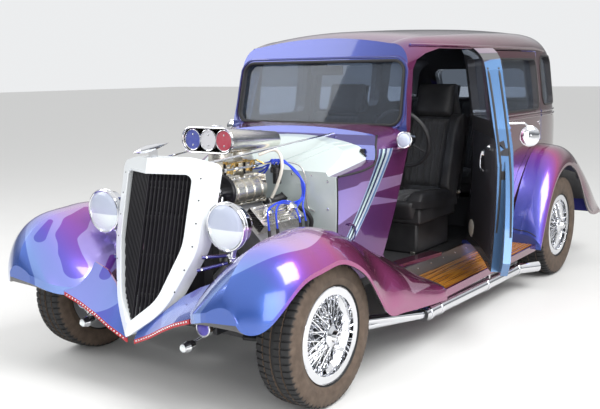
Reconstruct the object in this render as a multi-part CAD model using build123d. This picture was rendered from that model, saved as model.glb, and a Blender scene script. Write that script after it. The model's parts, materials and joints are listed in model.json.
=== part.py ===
from build123d import *
import math
import os

# A full-size four-door street rod sedan of 1930s form, in millimetres.
# It is drawn in car axes: x = 0 on the centreline with the car's left at +X, y = 0 midway between
# the axles with the front at -Y, and z = 0 on the floor. At the end all of it moves so that the
# middle of the whole outline stands on the origin.

os.makedirs("parts", exist_ok=True)

# Driving dimensions
wheelbase = 2845
floor_gap = 0.3
slide_gap = 0.05
panel_gap = 7
front_axle_y = -wheelbase / 2
rear_axle_y = wheelbase / 2

# Wheels and tyres
front_tyre_radius = 320
front_tyre_width = 195
front_tyre_x = 725
rear_tyre_radius = 350
rear_tyre_width = 235
rear_tyre_x = 745
front_rim_width = 165
rear_rim_width = 200
bead_radius = 190
rim_flange_radius = 214
rim_wall = 7
hub_radius = 42
hub_bore_radius = 20
spoke_radius = 3
spokes_per_ring = 18
brake_radius = 120

# Body shell
belt_z = 1130
sill_z = 375
door_low_z = 405
body_wall = 80
roof_wall = 45
cowl_wall = 40
tumblehome = 0.12
cowl_front_y = -872
firewall_wall = 8
cab_front_y = -380
roof_seam_z = 1563
tail_y = 2140
glass_thickness = 6
screen_low = (-385, 1130)
screen_lean = 0.21
screen_wall = 45
screen_half_low = 557
screen_half_high = 545
screen_z = (1154, 1493)
screen_corner = 60

# Doors
hinge_x = 712
front_hinge_y = 447
rear_hinge_y = 485
hinge_heights = (500, 820, 1090)
hinge_pin_radius = 4
hinge_barrel_radius = 9
hinge_length = 60
door_open_angle = 38.5
mirror_y = -200
mirror_head = (752, 1092)
mirror_arm_z = 1160
mirror_radius = 52
front_door_bevel = 0.28
rear_door_bevel = 0.34
door_top_z = 1556
rear_door_arch = 590
front_door_skin = 615
rear_door_skin = 690

# Front suspension and steering
kingpin_x = 588
kingpin_radius = 14
arm_low_z = 245
arm_high_z = 405
steering_wheel_x = 370
steering_wheel_radius = 175
column_low = (370, -560, 840)
column_high = (370, -30, 1040)

# Chassis
rail_x = (330, 390)
rail_depth = 100
rail_low_z = 320
rail_middle_z = 265
rail_kick_z = 440

# Fenders
fender_wall = 10
fender_row_spacing = 110
fender_lip_x = 882
board_y = (-440, 905)
board_x = (600, 868)
board_z = (262, 292)
slat_width = 28
slat_pitch = 34
slat_height = 12

# Exhaust
pipe_radius = 36
pipe_bore_radius = 33
pipe_bore_length = 110
pipe_front = (798, -560, 190)
pipe_rear = (790, 790, 156)
pipe_tip_angle = 30
pipe_tip_length = 165
header_radius = 24

# Engine
engine_y = (-1330, -945)
block_half_width = 150
block_z = (430, 700)
bank_angle = 42
blower_y = (-1250, -1000)
blower_half_width = 142
blower_z = (800, 925)
scoop_y = (-1285, -885)
scoop_half_width = 165
scoop_z = (1058, 1184)
scoop_wall = 7
flap_radius = 49
flap_pitch = 101

# Grille
shell_tip = (-1864, 284)
shell_lean = 0.2266
shell_sweep = 0.444
shell_depth = 90
shell_top_z = 1074
bar_pitch = 17
bar_width = 5
bar_depth = 16
bar_inset = 22

# Lamps
headlamp = (391, -1610, 785)
headlamp_radius = 107
headlamp_depth = 150


def block(x, y, z):
    """Box between the low and high limits of each axis."""
    middle = Pos((x[0] + x[1]) / 2, (y[0] + y[1]) / 2, (z[0] + z[1]) / 2)
    return middle * Box(x[1] - x[0], y[1] - y[0], z[1] - z[0])


def prism(points, direction):
    """Flat outline of 3-D points pushed along a direction."""
    outline = Face(Wire.make_polygon([Vector(*point) for point in points], close=True))
    return Solid.extrude(outline, Vector(*direction))


def side_prism(points, x_low, x_high):
    """Side view outline of (y, z) points between two x planes."""
    return prism([(x_low, y, z) for y, z in points], (x_high - x_low, 0, 0))


def front_prism(points, y_low, y_high):
    """Front view outline of (x, z) points between two y planes."""
    return prism([(x, y_low, z) for x, z in points], (0, y_high - y_low, 0))


def plan_prism(points, z_low, z_high):
    """Plan view outline of (x, y) points between two z planes."""
    return prism([(x, y, z_low) for x, y in points], (0, 0, z_high - z_low))


def rod(start, end, radius):
    """Round bar between two points."""
    low = Vector(*start)
    axis = Vector(*end) - low
    return extrude(Plane(origin=low, z_dir=axis) * Circle(radius), amount=axis.length)


def tube_path(points, radius, bend):
    """Round bar along a path with rounded corners."""
    path = FilletPolyline(*points, radius=bend)
    start = Plane(origin=path @ 0, z_dir=path % 0)
    return sweep(start * Circle(radius), path=path)


def spun(points, axis_point, axis_direction):
    """Body of revolution about an axis through a point: points are (along, radius)."""
    plane = Plane(origin=axis_point, x_dir=axis_direction, z_dir=_square_to(axis_direction))
    outline = make_face(Polyline(*[(along, radius) for along, radius in points], close=True))
    return revolve(plane * outline, axis=Axis(axis_point, axis_direction))


def _square_to(direction):
    """A direction square to the given one."""
    vector = Vector(*direction)
    helper = Vector(0, 0, 1) if abs(vector.Z) < 0.9 * vector.length else Vector(0, 1, 0)
    return vector.cross(helper).normalized()


def mirrored(shape):
    """The same shape on the other side of the car."""
    return shape.mirror(Plane.YZ)


def both_sides(shape):
    """A left-hand solid and its right-hand twin."""
    return [shape, mirrored(shape)]


def rounded_window(y, z, corner, x_low, x_high):
    """Side window cutter with rounded corners."""
    outline = RectangleRounded(y[1] - y[0], z[1] - z[0], corner)
    plane = Plane(origin=(x_low, (y[0] + y[1]) / 2, (z[0] + z[1]) / 2), x_dir=(0, 1, 0), z_dir=(1, 0, 0))
    return extrude(plane * outline, amount=x_high - x_low)


# Sections of the cab along the car: y, half width at the belt, height of the roof
cab_sections = [
    (-380, 612, 1592),
    (-200, 632, 1650),
    (100, 668, 1681),
    (533, 692, 1702),
    (1000, 700, 1718),
    (1440, 690, 1716),
    (1700, 668, 1680),
    (1900, 625, 1585),
    (2050, 545, 1390),
    (2140, 430, 1130),
]

# Sections of the cowl: y, half width, height of its top
cowl_sections = [
    (-872, 478, 1062),
    (-640, 552, 1122),
    (-380, 612, 1172),
]

# Side view of the cowl's open edge above its front corner, y and z
cowl_edge = [(-632, 990), (-600, 1062), (-540, 1108), (-524, 1150)]


def cab_section(y, half, top, grow, low):
    """Closed cab section: flat bottom, bulged side, tumblehome, round shoulder and crowned roof."""
    rise = (top - sill_z) / (1716 - sill_z)
    belt = sill_z + (belt_z - sill_z) * rise
    shoulder = top - 150 * rise
    edge = top - 40 * rise
    half = half + grow
    top = top + (grow if grow > 0 else grow * roof_wall / body_wall)
    x_shoulder = half - tumblehome * (shoulder - belt)
    x_edge = x_shoulder - 120
    if grow < 0:
        edge = edge - roof_wall
        shoulder = shoulder - roof_wall
    right = [(half - 26, low), (half, belt), (x_shoulder, shoulder), (x_edge, edge)]
    points = [Vector(x, y, z) for x, z in right]
    other = [Vector(-p.X, p.Y, p.Z) for p in points]
    side_middle = Vector(half - 2, y, (low + belt) / 2)
    turn = Vector((x_shoulder + x_edge) / 2 + 18, y, (shoulder + edge) / 2 + 26)
    edges = [
        Edge.make_line(other[0], points[0]),
        Edge.make_three_point_arc(points[0], side_middle, points[1]),
        Edge.make_line(points[1], points[2]),
        Edge.make_three_point_arc(points[2], turn, points[3]),
        Edge.make_three_point_arc(points[3], Vector(0, y, top), other[3]),
        Edge.make_three_point_arc(other[3], Vector(-turn.X, y, turn.Z), other[2]),
        Edge.make_line(other[2], other[1]),
        Edge.make_three_point_arc(other[1], Vector(-side_middle.X, y, side_middle.Z), other[0]),
    ]
    return Wire(edges)


def cab_form(grow, low):
    """Whole cab as a closed form, grown or shrunk by a wall."""
    squeeze = (tail_y - cab_front_y + grow) / (tail_y - cab_front_y)
    wires = []
    for y, half, top in cab_sections:
        place = cab_front_y + (y - cab_front_y) * squeeze
        wires.append(cab_section(place, half, top, grow, low))
    return Solid.make_loft(wires)


def cowl_section(y, half, top, grow, low):
    """Closed cowl section: flat bottom, flat sides, round shoulder and crowned top."""
    half = half + grow
    top = top + grow
    shoulder = top - 150
    edge = top - 28
    right = [(half - 26, low), (half, shoulder), (half - 110, edge)]
    points = [Vector(x, y, z) for x, z in right]
    other = [Vector(-p.X, p.Y, p.Z) for p in points]
    side_middle = Vector(half - 2, y, (low + shoulder) / 2)
    turn = Vector(half - 30, y, shoulder + 82)
    edges = [
        Edge.make_line(other[0], points[0]),
        Edge.make_three_point_arc(points[0], side_middle, points[1]),
        Edge.make_three_point_arc(points[1], turn, points[2]),
        Edge.make_three_point_arc(points[2], Vector(0, y, top), other[2]),
        Edge.make_three_point_arc(other[2], Vector(-turn.X, y, turn.Z), other[1]),
        Edge.make_three_point_arc(other[1], Vector(-side_middle.X, y, side_middle.Z), other[0]),
    ]
    return Wire(edges)


def cowl_form(grow, low, stretch):
    """Cowl as a closed form, longer at its front by stretch."""
    wires = []
    for y, half, top in cowl_sections:
        place = y - stretch if y == cowl_front_y else y
        wires.append(cowl_section(place, half, top, grow, low))
    return Solid.make_loft(wires)


def ahead_of_cowl():
    """Everything ahead of the cowl's open edge, which slants back over the engine."""
    points = [(cowl_front_y - 200, 925), (cowl_front_y - 1, 925)] + cowl_edge
    points += [(cowl_edge[-1][0], 1400), (cowl_front_y - 200, 1400)]
    return side_prism(points, -900, 900)


def screen_line(offset):
    """Side points of the windscreen plane, moved back by an offset."""
    y_low, z_low = screen_low
    rise = 1900 - z_low
    return (y_low + offset, z_low), (y_low + offset + screen_lean * rise, 1900)


def ahead_of_screen(offset):
    """Everything ahead of the windscreen plane and above the belt."""
    low, high = screen_line(offset)
    points = [low, high, (-900, 1900), (-900, low[1])]
    return side_prism(points, -900, 900)


def front_door_outline(grow, depth_shift):
    """Side outline of a front door: its front edge slants with the cowl."""
    shift = depth_shift
    return [
        (-488 - grow + shift, door_low_z - grow),
        (-561 - grow + shift, 485 - grow),
        (-405 - grow + shift, 945),
        (-340 - grow + shift, 1140),
        (-272 - grow + shift, 1440 + grow),
        (-232 - grow + shift, 1492 + grow),
        (-140 - grow + shift, 1528 + grow),
        (0, door_top_z + grow),
        (436 + grow, door_top_z + grow),
        (436 + grow, door_low_z - grow),
    ]


def rear_door_outline(grow, depth_shift):
    """Side outline of a rear door: its lower rear corner follows the wheel arch."""
    arch = []
    for angle in (0, 22, 44, 66, 84):
        radius = rear_door_arch - grow + depth_shift
        y = rear_axle_y - radius * math.cos(math.radians(angle))
        z = door_low_z - 35 + radius * math.sin(math.radians(angle))
        arch.append((y, max(z, door_low_z - grow)))
    top = door_top_z + grow
    tail = 1425 + grow - depth_shift
    return [(496 - grow, door_low_z - grow)] + arch[:-1] + [(tail, arch[-1][1]), (tail, top), (496 - grow, top)]


def door_prism(outline, grow, bevel, skin_x):
    """Prism of a left door opening, narrower inwards where the door swings past its post."""
    outer_x = 760
    inner_x = 480
    outer = [Vector(outer_x, y, z) for y, z in outline(grow, bevel * (skin_x - outer_x))]
    inner = [Vector(inner_x, y, z) for y, z in outline(grow, bevel * (skin_x - inner_x))]
    wires = [Wire.make_polygon(outer, close=True), Wire.make_polygon(inner, close=True)]
    return Solid.make_loft(wires, ruled=True)


def hinge_barrels(hinge_y, side):
    """Door half of the outside hinges: barrels round the pin, with a leaf along the door skin."""
    leaves = []
    for height in hinge_heights:
        low = height - hinge_length / 2
        barrel = rod((hinge_x, hinge_y, low), (hinge_x, hinge_y, low + hinge_length), hinge_barrel_radius)
        reach = (hinge_y - 62, hinge_y - 6) if side < 0 else (hinge_y + 6, hinge_y + 62)
        leaf = block((hinge_x - 48, hinge_x - 4), reach, (low, low + hinge_length))
        pin = rod(
            (hinge_x, hinge_y, low - 30), (hinge_x, hinge_y, low + hinge_length + 30),
            hinge_pin_radius + slide_gap)
        leaves.append(barrel + leaf - pin)
    return leaves


def hinge_lugs(hinge_y):
    """Post half of the outside hinges: a pin held by a lug above and below each barrel."""
    lugs = []
    for height in hinge_heights:
        low = height - hinge_length / 2 - 14
        high = height + hinge_length / 2 + 14
        pin = rod((hinge_x, hinge_y, low), (hinge_x, hinge_y, high), hinge_pin_radius)
        ends = []
        for z in ((low, low + 12), (high - 12, high)):
            ends.append(rod((hinge_x, hinge_y, z[0]), (hinge_x, hinge_y, z[1]), hinge_barrel_radius))
            ends.append(block((hinge_x - 40, hinge_x - 2), (hinge_y - 8, hinge_y + 8), z))
        for end in ends:
            pin = pin + end
        lugs.append(pin)
    return lugs


def opened(shape, angle):
    """A left front door swung about its hinge."""
    return shape.rotate(Axis((hinge_x, front_hinge_y, 0), (0, 0, 1)), angle)


def largest(shape):
    """The biggest solid of a trimmed shape."""
    return max(shape.solids(), key=lambda solid: solid.volume)


def body_pieces():
    """Cab panels, doors and glass, all cut from one shell."""
    outer = cab_form(0, sill_z) - ahead_of_screen(0)
    inner = cab_form(-body_wall, sill_z - 40) - ahead_of_screen(screen_wall)
    shell = outer - inner
    cowl = cowl_form(0, sill_z, 0) - cowl_form(-cowl_wall, sill_z - 40, 20) - ahead_of_cowl()
    front_left = door_prism(front_door_outline, 0, front_door_bevel, front_door_skin)
    front_open = door_prism(front_door_outline, panel_gap, front_door_bevel, front_door_skin)
    rear_left = door_prism(rear_door_outline, 0, rear_door_bevel, rear_door_skin)
    rear_open = door_prism(rear_door_outline, panel_gap, rear_door_bevel, rear_door_skin)

    left_half = block((0, 900), (-1000, 2400), (0, 1900))
    side_shell = shell & left_half
    side_cowl = cowl & left_half
    door_front = (side_shell + side_cowl) & front_left
    door_rear = side_shell & rear_left
    front_glass_cut = rounded_window((-205, 372), (1172, 1500), 45, 400, 900)
    rear_glass_cut = rounded_window((560, 1380), (1172, 1500), 45, 400, 900)
    quarter_cut = rounded_window((1500, 1850), (1195, 1525), 60, 400, 900)
    door_front = door_front - front_glass_cut
    door_rear = door_rear - rear_glass_cut

    frame = shell + cowl
    for opening in (front_open, rear_open):
        frame = frame - opening - mirrored(opening)
    frame = frame - windscreen_cutter(0) - quarter_cut - mirrored(quarter_cut)
    rear_window = Pos(0, 2000, 1330) * extrude(Plane.XZ * RectangleRounded(760, 230, 60), amount=400, both=True)
    frame = frame - rear_window

    arch = rear_arch_cutter()
    frame = frame - arch - mirrored(arch)
    door_rear = door_rear - rear_arch_cutter()

    roof = frame & block((-900, 900), (-900, 2400), (roof_seam_z, 1900))
    lower = frame & block((-900, 900), (-900, 2400), (0, roof_seam_z))
    cowl_node = lower & block((-900, 900), (-900, 0), (0, 1900))
    posts = lower & block((-900, 900), (380, 560), (0, 1900))
    rear = lower & block((-900, 900), (700, 2400), (0, 1900))
    return roof, cowl_node, posts, rear, door_front, door_rear


def windscreen_cutter(grow):
    """Cutter of the windscreen opening, square to its plane."""
    low = screen_z[0] - grow
    high = screen_z[1] + grow
    points = [
        (-screen_half_low - grow, -700, low), (screen_half_low + grow, -700, low),
        (screen_half_high + grow, -700, high), (-screen_half_high - grow, -700, high)]
    cutter = prism(points, (0, 600, 0))
    return fillet(cutter.edges().filter_by(Axis.Y), screen_corner + grow)


def rear_arch_cutter():
    """Room for a rear wheel in the body side."""
    return rod((540, rear_axle_y, 350), (900, rear_axle_y, 350), rear_tyre_radius + 60)


def cab_glass():
    """Windscreen, rear window and quarter windows."""
    low, high = screen_line(screen_wall / 2)
    sheet = side_prism([low, high, (high[0] + glass_thickness, high[1]), (low[0] + glass_thickness, low[1])], -900, 900)
    windscreen = sheet & windscreen_cutter(-floor_gap)
    form = cab_form(-18, 400) - cab_form(-18 - glass_thickness, 380)
    quarter = form & rounded_window((1500 + floor_gap, 1850 - floor_gap), (1195 + floor_gap, 1525 - floor_gap), 60, 400, 900)
    rear_cut = Pos(0, 2000, 1330) * extrude(
        Plane.XZ * RectangleRounded(760 - 2 * floor_gap, 230 - 2 * floor_gap, 60), amount=400, both=True)
    rear = form & rear_cut & block((-900, 900), (1700, 2300), (0, 1900))
    return [windscreen, quarter, mirrored(quarter), rear]


def door_glass(cut):
    """Glass of one left door."""
    form = cab_form(-30, 400) - cab_form(-30 - glass_thickness, 380)
    return form & cut


# Front fender sections: y, inner edge x and z, crown x and z, lip x and z
front_fender_sections = [
    (-1942, 560, 512, 640, 545, 715, 505),
    (-1895, 430, 470, 650, 652, 800, 478),
    (-1830, 370, 455, 650, 712, 858, 556),
    (-1720, 318, 470, 645, 758, 880, 640),
    (-1454, 322, 600, 635, 780, fender_lip_x, 670),
    (-1230, 348, 668, 645, 738, fender_lip_x, 556),
    (-1040, 400, 680, 700, 648, fender_lip_x, 345),
    (-830, 478, 606, 755, 508, fender_lip_x, 314),
    (-620, 545, 490, 805, 398, fender_lip_x, 292),
    (board_y[0], 600, 350, 858, 322, fender_lip_x, 276),
]


def fender_section(row, wall, low):
    """Closed section of a front fender; the inner copy is thinner by the wall and open below."""
    y, inner_x, inner_z, crown_x, crown_z, lip_x, lip_z = row
    inner = Vector(inner_x + wall, y, inner_z - wall)
    crown = Vector(crown_x, y, crown_z - wall)
    lip = Vector(lip_x - wall, y, lip_z)
    chord_in = crown - inner
    chord_out = lip - crown
    bulge_in = 0.05 * min(chord_in.length, 400)
    bulge_out = 0.17 * min(chord_out.length, 300)
    middle_in = inner + chord_in * 0.5 + Vector(-chord_in.Z, 0, chord_in.X).normalized() * bulge_in
    middle_out = crown + chord_out * 0.5 + Vector(-chord_out.Z, 0, chord_out.X).normalized() * bulge_out
    foot_out = Vector(lip.X, y, low(lip_z))
    foot_in = Vector(inner.X, y, low(inner_z) - 20)
    edges = [
        Edge.make_three_point_arc(inner, middle_in, crown),
        Edge.make_three_point_arc(crown, middle_out, lip),
        Edge.make_line(lip, foot_out),
        Edge.make_line(foot_out, foot_in),
        Edge.make_line(foot_in, inner),
    ]
    return Wire(edges)


def closer_rows(rows, spacing):
    """Section rows about one spacing apart, on curves that never swing past the rows given."""
    spans = [after[0] - before[0] for before, after in zip(rows, rows[1:])]
    slopes = [[(end - start) / span for start, end in zip(before, after)]
              for before, after, span in zip(rows, rows[1:], spans)]
    tangents = [slopes[0]]
    for before, after in zip(slopes, slopes[1:]):
        tangents.append([2 * s * t / (s + t) if s * t > 0 else 0 for s, t in zip(before, after)])
    tangents.append(slopes[-1])
    closer = [rows[0]]
    for place, span in enumerate(spans):
        steps = max(1, round(span / spacing))
        for step in range(1, steps + 1):
            t = step / steps
            share = 3 * t**2 - 2 * t**3
            leaving = span * (t**3 - 2 * t**2 + t)
            arriving = span * (t**3 - t**2)
            columns = zip(rows[place], rows[place + 1], tangents[place], tangents[place + 1])
            closer.append(tuple(start * (1 - share) + end * share + leaving * first + arriving * second
                                for start, end, first, second in columns))
    return closer


def front_fender():
    """Left front fender: a shell open below, with a nose and a flank down to the running board."""
    rows = list(front_fender_sections)
    outer_rows = closer_rows(rows, fender_row_spacing)
    rows[0] = (rows[0][0] + fender_wall,) + rows[0][1:]
    rows[-1] = (rows[-1][0] - fender_wall,) + rows[-1][1:]
    inner_rows = closer_rows(rows, fender_row_spacing)
    outer = Solid.make_loft([fender_section(row, 0, lambda z: z - 20) for row in outer_rows])
    inner = Solid.make_loft([fender_section(row, fender_wall, lambda z: z - 60) for row in inner_rows])
    return outer - inner


# Rear fender sections: y, crown x and z, lip z
rear_fender_sections = [
    (905, 760, 360, 290),
    (1000, 775, 590, 480),
    (1150, 790, 790, 690),
    (1390, 795, 905, 797),
    (1650, 795, 862, 690),
    (1900, 780, 745, 425),
    (2090, 750, 620, 350),
    (2225, 720, 430, 345),
]


def rear_fender_section(row, wall, low):
    """Closed section of a rear fender against the body side."""
    y, crown_x, crown_z, lip_z = row
    inner = Vector(520, y, crown_z + 20 - wall)
    crown = Vector(crown_x, y, crown_z - wall)
    lip = Vector(905 - wall, y, lip_z)
    middle_in = Vector((520 + crown_x) / 2, y, crown_z + 16 - wall)
    chord = lip - crown
    bulge = 0.16 * chord.length
    middle_out = crown + chord * 0.5 + Vector(-chord.Z, 0, chord.X).normalized() * bulge
    foot_out = Vector(lip.X, y, low(lip_z))
    foot_in = Vector(520, y, low(lip_z))
    edges = [
        Edge.make_three_point_arc(inner, middle_in, crown),
        Edge.make_three_point_arc(crown, middle_out, lip),
        Edge.make_line(lip, foot_out),
        Edge.make_line(foot_out, foot_in),
        Edge.make_line(foot_in, inner),
    ]
    return Wire(edges)


def rear_fender():
    """Left rear fender, cut to the body side."""
    outer = Solid.make_loft([rear_fender_section(row, 0, lambda z: z - 20) for row in rear_fender_sections])
    rows = list(rear_fender_sections)
    rows[0] = (rows[0][0] + fender_wall,) + rows[0][1:]
    rows[-1] = (rows[-1][0] - fender_wall,) + rows[-1][1:]
    inner = Solid.make_loft([rear_fender_section(row, fender_wall, lambda z: z - 60) for row in rows])
    return outer - inner


def running_board():
    """Left running board with its edge rail and the splash panel up to the sill."""
    board = block(board_x, board_y, board_z)
    rail = block((board_x[1] - 14, board_x[1]), board_y, (board_z[1], board_z[1] + slat_height))
    splash = block((board_x[0], board_x[0] + 6), board_y, (board_z[1], sill_z))
    for y in (-300, 700):
        stay = block((rail_x[1], board_x[0]), (y, y + 50), (board_z[0] + 10, board_z[0] + 30))
        board = board + stay
    return board + rail + splash


def board_slats():
    """Wooden slats along the running board."""
    slats = []
    x = board_x[0] + 10
    while x + slat_width < board_x[1] - 16:
        slats.append(block((x, x + slat_width), (board_y[0] + 6, board_y[1] - 6),
                           (board_z[1], board_z[1] + slat_height)))
        x += slat_pitch
    return slats


def rounded_prism(right, radii, y_low, y_high):
    """Front view prism from its right-hand corners, first and last on the centreline, and their radii."""
    left = [(-x, z) for x, z in reversed(right[1:-1])]
    turns = radii + list(reversed(radii[1:-1]))
    plane = Plane(origin=(0, y_low, 0), x_dir=(1, 0, 0), z_dir=(0, -1, 0))
    outline = make_face(plane * FilletPolyline(*(right + left), radius=turns, close=True))
    return extrude(outline, amount=-(y_high - y_low))


def shell_prism(grow):
    """Outline of the grille shell pushed through the car's nose, pointed at its foot."""
    right = [(0, shell_tip[1] - 1.3 * grow), (150 + grow, 402), (262 + grow, 668), (272 + grow, 1036 + grow),
             (130, 1068 + grow), (0, shell_top_z + grow)]
    return rounded_prism(right, [18, 300, 260, 46, 200, 300], -2100, -1300)


def opening_prism(grow):
    """Outline of the grille opening pushed through the car's nose."""
    right = [(0, 349 - 1.4 * grow), (112 + grow, 452), (196 + grow, 690), (203 + grow, 1000 + grow), (0, 1004 + grow)]
    return rounded_prism(right, [14, 190, 260, 34, 400], -2100, -1300)


def swept_slab(front, back):
    """Slab that leans back with height and sweeps back from the centreline, between two depths."""
    wires = []
    for z in (200, 1150):
        y = shell_tip[0] + (z - shell_tip[1]) * shell_lean
        sweep_back = 420 * shell_sweep
        points = [
            (0, y + front), (420, y + front + sweep_back), (420, y + back + sweep_back),
            (0, y + back), (-420, y + back + sweep_back), (-420, y + front + sweep_back)]
        wires.append(Wire.make_polygon([Vector(px, py, z) for px, py in points], close=True))
    return Solid.make_loft(wires, ruled=True)


def grille_shell():
    """Painted shell round the grille."""
    form = shell_prism(0) & swept_slab(0, shell_depth)
    return form - opening_prism(0)


def shell_front_y(x, z):
    """Place of the shell's front surface."""
    return shell_tip[0] + (z - shell_tip[1]) * shell_lean + abs(x) * shell_sweep


def grille_bars():
    """Upright bars that follow the opening's edge, joined by rails behind them."""
    bars = []
    count = int((203 - bar_width) / bar_pitch)
    for index in range(-count, count + 1):
        x = index * bar_pitch
        foot = shell_front_y(x, 330) + bar_inset
        head = shell_front_y(x, 1010) + bar_inset
        outline = [(foot, 330), (head, 1010), (head + bar_depth, 1010), (foot + bar_depth, 330)]
        bars.append(side_prism(outline, x - bar_width / 2, x + bar_width / 2))
    for z in (470, 640, 810, 960):
        for side in (-1, 1):
            inner = shell_front_y(0, z) + bar_inset + bar_depth
            outer = shell_front_y(210, z) + bar_inset + bar_depth
            plan = [(0, inner - 4), (side * 210, outer - 4), (side * 210, outer + 6), (0, inner + 6)]
            bars.append(plan_prism(plan, z - 5, z + 5))
    return bars[0].fuse(*bars[1:]) & opening_prism(-floor_gap)


# Lower edge of the sheet between the front fenders: x, its y and z, and the y and z of its upper edge
apron_stations = [
    (24, -1838, 272, -1815, 306),
    (130, -1846, 318, -1770, 392),
    (215, -1852, 364, -1716, 470),
    (300, -1860, 404, -1690, 520),
    (400, -1872, 440, -1700, 560),
]


def apron_sheet(rise, depth, drop):
    """Left half of a sheet along the apron's stations: its rise as a share, its depth and its drop."""
    wires = []
    for x, y_low, z_low, y_high, z_high in apron_stations:
        top_y = y_low + (y_high - y_low) * rise
        top_z = z_low + (z_high - z_low) * rise
        corners = [(y_low, z_low - drop), (top_y, top_z), (top_y + depth, top_z), (y_low + depth, z_low - drop)]
        wires.append(Wire.make_polygon([Vector(x, y, z) for y, z in corners], close=True))
    return Solid.make_loft(wires, ruled=True)


def front_apron():
    """Left half of the painted sheet from the fender's nose to the foot of the shell."""
    return apron_sheet(1, 9, 0) - shell_prism(0.05)


def wire_wheel(width):
    """Wheel on the X axis, outer side at +x: rim, hub with cap, and two rings of crossed spokes."""
    half = width / 2
    rim = spun(
        [(-half, bead_radius - 22), (-half, rim_flange_radius), (-half + 8, rim_flange_radius),
         (-half + 12, bead_radius), (half - 12, bead_radius), (half - 8, rim_flange_radius),
         (half, rim_flange_radius), (half, bead_radius - 12), (half - 26, bead_radius - rim_wall),
         (half - 50, bead_radius - 26), (-half + 40, bead_radius - 26), (-half + 20, bead_radius - rim_wall)],
        (0, 0, 0), (1, 0, 0))
    hub = spun(
        [(-half + 15, hub_bore_radius + slide_gap), (-half + 15, hub_radius + 20), (-half + 27, hub_radius + 20),
         (-half + 34, hub_radius), (half - 6, hub_radius - 8), (half, hub_radius + 6), (half + 8, hub_radius + 6),
         (half + 20, 30), (half + 38, 24), (half + 42, 0), (half + 20, 0), (half + 20, hub_bore_radius + slide_gap)],
        (0, 0, 0), (1, 0, 0))
    wheel = rim + hub
    spokes = []
    rings = [(half - 2, hub_radius - 2, half - 44, 1), (-half + 22, hub_radius + 12, -half + 48, -1)]
    for hub_x, hub_r, rim_x, turn in rings:
        for index in range(spokes_per_ring):
            angle = 360 / spokes_per_ring * index
            lean = turn * (24 if index % 2 else -24)
            start = Vector(hub_x, hub_r, 0).rotate(Axis.X, angle)
            end = Vector(rim_x, bead_radius - 20, 0).rotate(Axis.X, angle + lean)
            axis = end - start
            spoke = extrude(Plane(origin=start, z_dir=axis) * RegularPolygon(spoke_radius, 5), amount=axis.length)
            spokes.append(spoke)
    return wheel.fuse(*spokes)


def tyre(radius, width, rim_width):
    """Tyre on the X axis with round shoulders, its feet between the rim's flanges."""
    half = width / 2
    foot = rim_width / 2 - 12 - floor_gap
    return spun(
        [(-foot, bead_radius + floor_gap), (-foot, rim_flange_radius + 2), (-half * 0.84, rim_flange_radius + 8),
         (-half * 0.98, rim_flange_radius + 36), (-half, radius - 62), (-half * 0.93, radius - 22),
         (-half * 0.80, radius - 5), (-half * 0.40, radius), (half * 0.40, radius), (half * 0.80, radius - 5),
         (half * 0.93, radius - 22), (half, radius - 62), (half * 0.98, rim_flange_radius + 36),
         (half * 0.84, rim_flange_radius + 8), (foot, rim_flange_radius + 2), (foot, bead_radius + floor_gap)],
        (0, 0, 0), (1, 0, 0))


def chassis_frame():
    """Two rails with a kick-up over the rear axle, joined by crossmembers."""
    upper = [(-1690, rail_low_z + rail_depth), (-1000, rail_low_z + rail_depth),
             (-880, rail_middle_z + rail_depth), (950, rail_middle_z + rail_depth),
             (1180, rail_kick_z + rail_depth), (1650, rail_kick_z + rail_depth), (1990, 490)]
    lower = [(1990, 420), (1620, rail_kick_z), (1170, rail_kick_z), (940, rail_middle_z), (-890, rail_middle_z),
             (-1010, rail_low_z), (-1690, rail_low_z)]
    frame = side_prism(upper + lower, rail_x[0], rail_x[1])
    frame = frame + mirrored(frame)
    for y, z in ((-1660, rail_low_z + 10), (-800, rail_middle_z), (60, rail_middle_z), (900, rail_middle_z),
                 (1950, 425)):
        frame = frame + block((-rail_x[0], rail_x[0]), (y - 25, y + 25), (z, z + 60))
    return frame


def front_suspension():
    """Crossmember under the rails with arms out to the steering knuckles."""
    beam = block((-rail_x[1], rail_x[1]), (front_axle_y - 55, front_axle_y + 55), (rail_low_z - 80, rail_low_z))
    side = None
    for z, spread, reach in ((arm_low_z, 90, rail_x[1] - 30), (arm_high_z, 60, rail_x[1])):
        eye = rod((kingpin_x, front_axle_y, z - 16), (kingpin_x, front_axle_y, z + 16), 26)
        arm = eye
        for offset in (-spread, spread):
            arm = arm + rod((reach, front_axle_y + offset * 0.6, z), (kingpin_x - 10, front_axle_y, z), 13)
        arm = arm - rod((kingpin_x, front_axle_y, 0), (kingpin_x, front_axle_y, 600), kingpin_radius + slide_gap)
        side = arm if side is None else side + arm
    return beam, side


def knuckle():
    """Left steering knuckle: kingpin, upright, stub axle and brake disc."""
    pin = rod((kingpin_x, front_axle_y, arm_low_z - 22), (kingpin_x, front_axle_y, arm_high_z + 22), kingpin_radius)
    upright = rod((kingpin_x, front_axle_y, arm_low_z + 20), (kingpin_x, front_axle_y, arm_high_z - 20), 30)
    tip = front_tyre_x + 70
    axle = rod((kingpin_x, front_axle_y, front_tyre_radius), (tip, front_axle_y, front_tyre_radius), hub_bore_radius)
    disc = rod((kingpin_x + 34, front_axle_y, front_tyre_radius), (kingpin_x + 48, front_axle_y, front_tyre_radius),
               brake_radius)
    boss = rod((kingpin_x, front_axle_y, front_tyre_radius), (kingpin_x + 34, front_axle_y, front_tyre_radius), 36)
    arm = block((kingpin_x - 14, kingpin_x + 14), (front_axle_y, front_axle_y + 130),
                (arm_low_z + 24, arm_low_z + 42))
    return pin + upright + axle + disc + boss + arm


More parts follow.
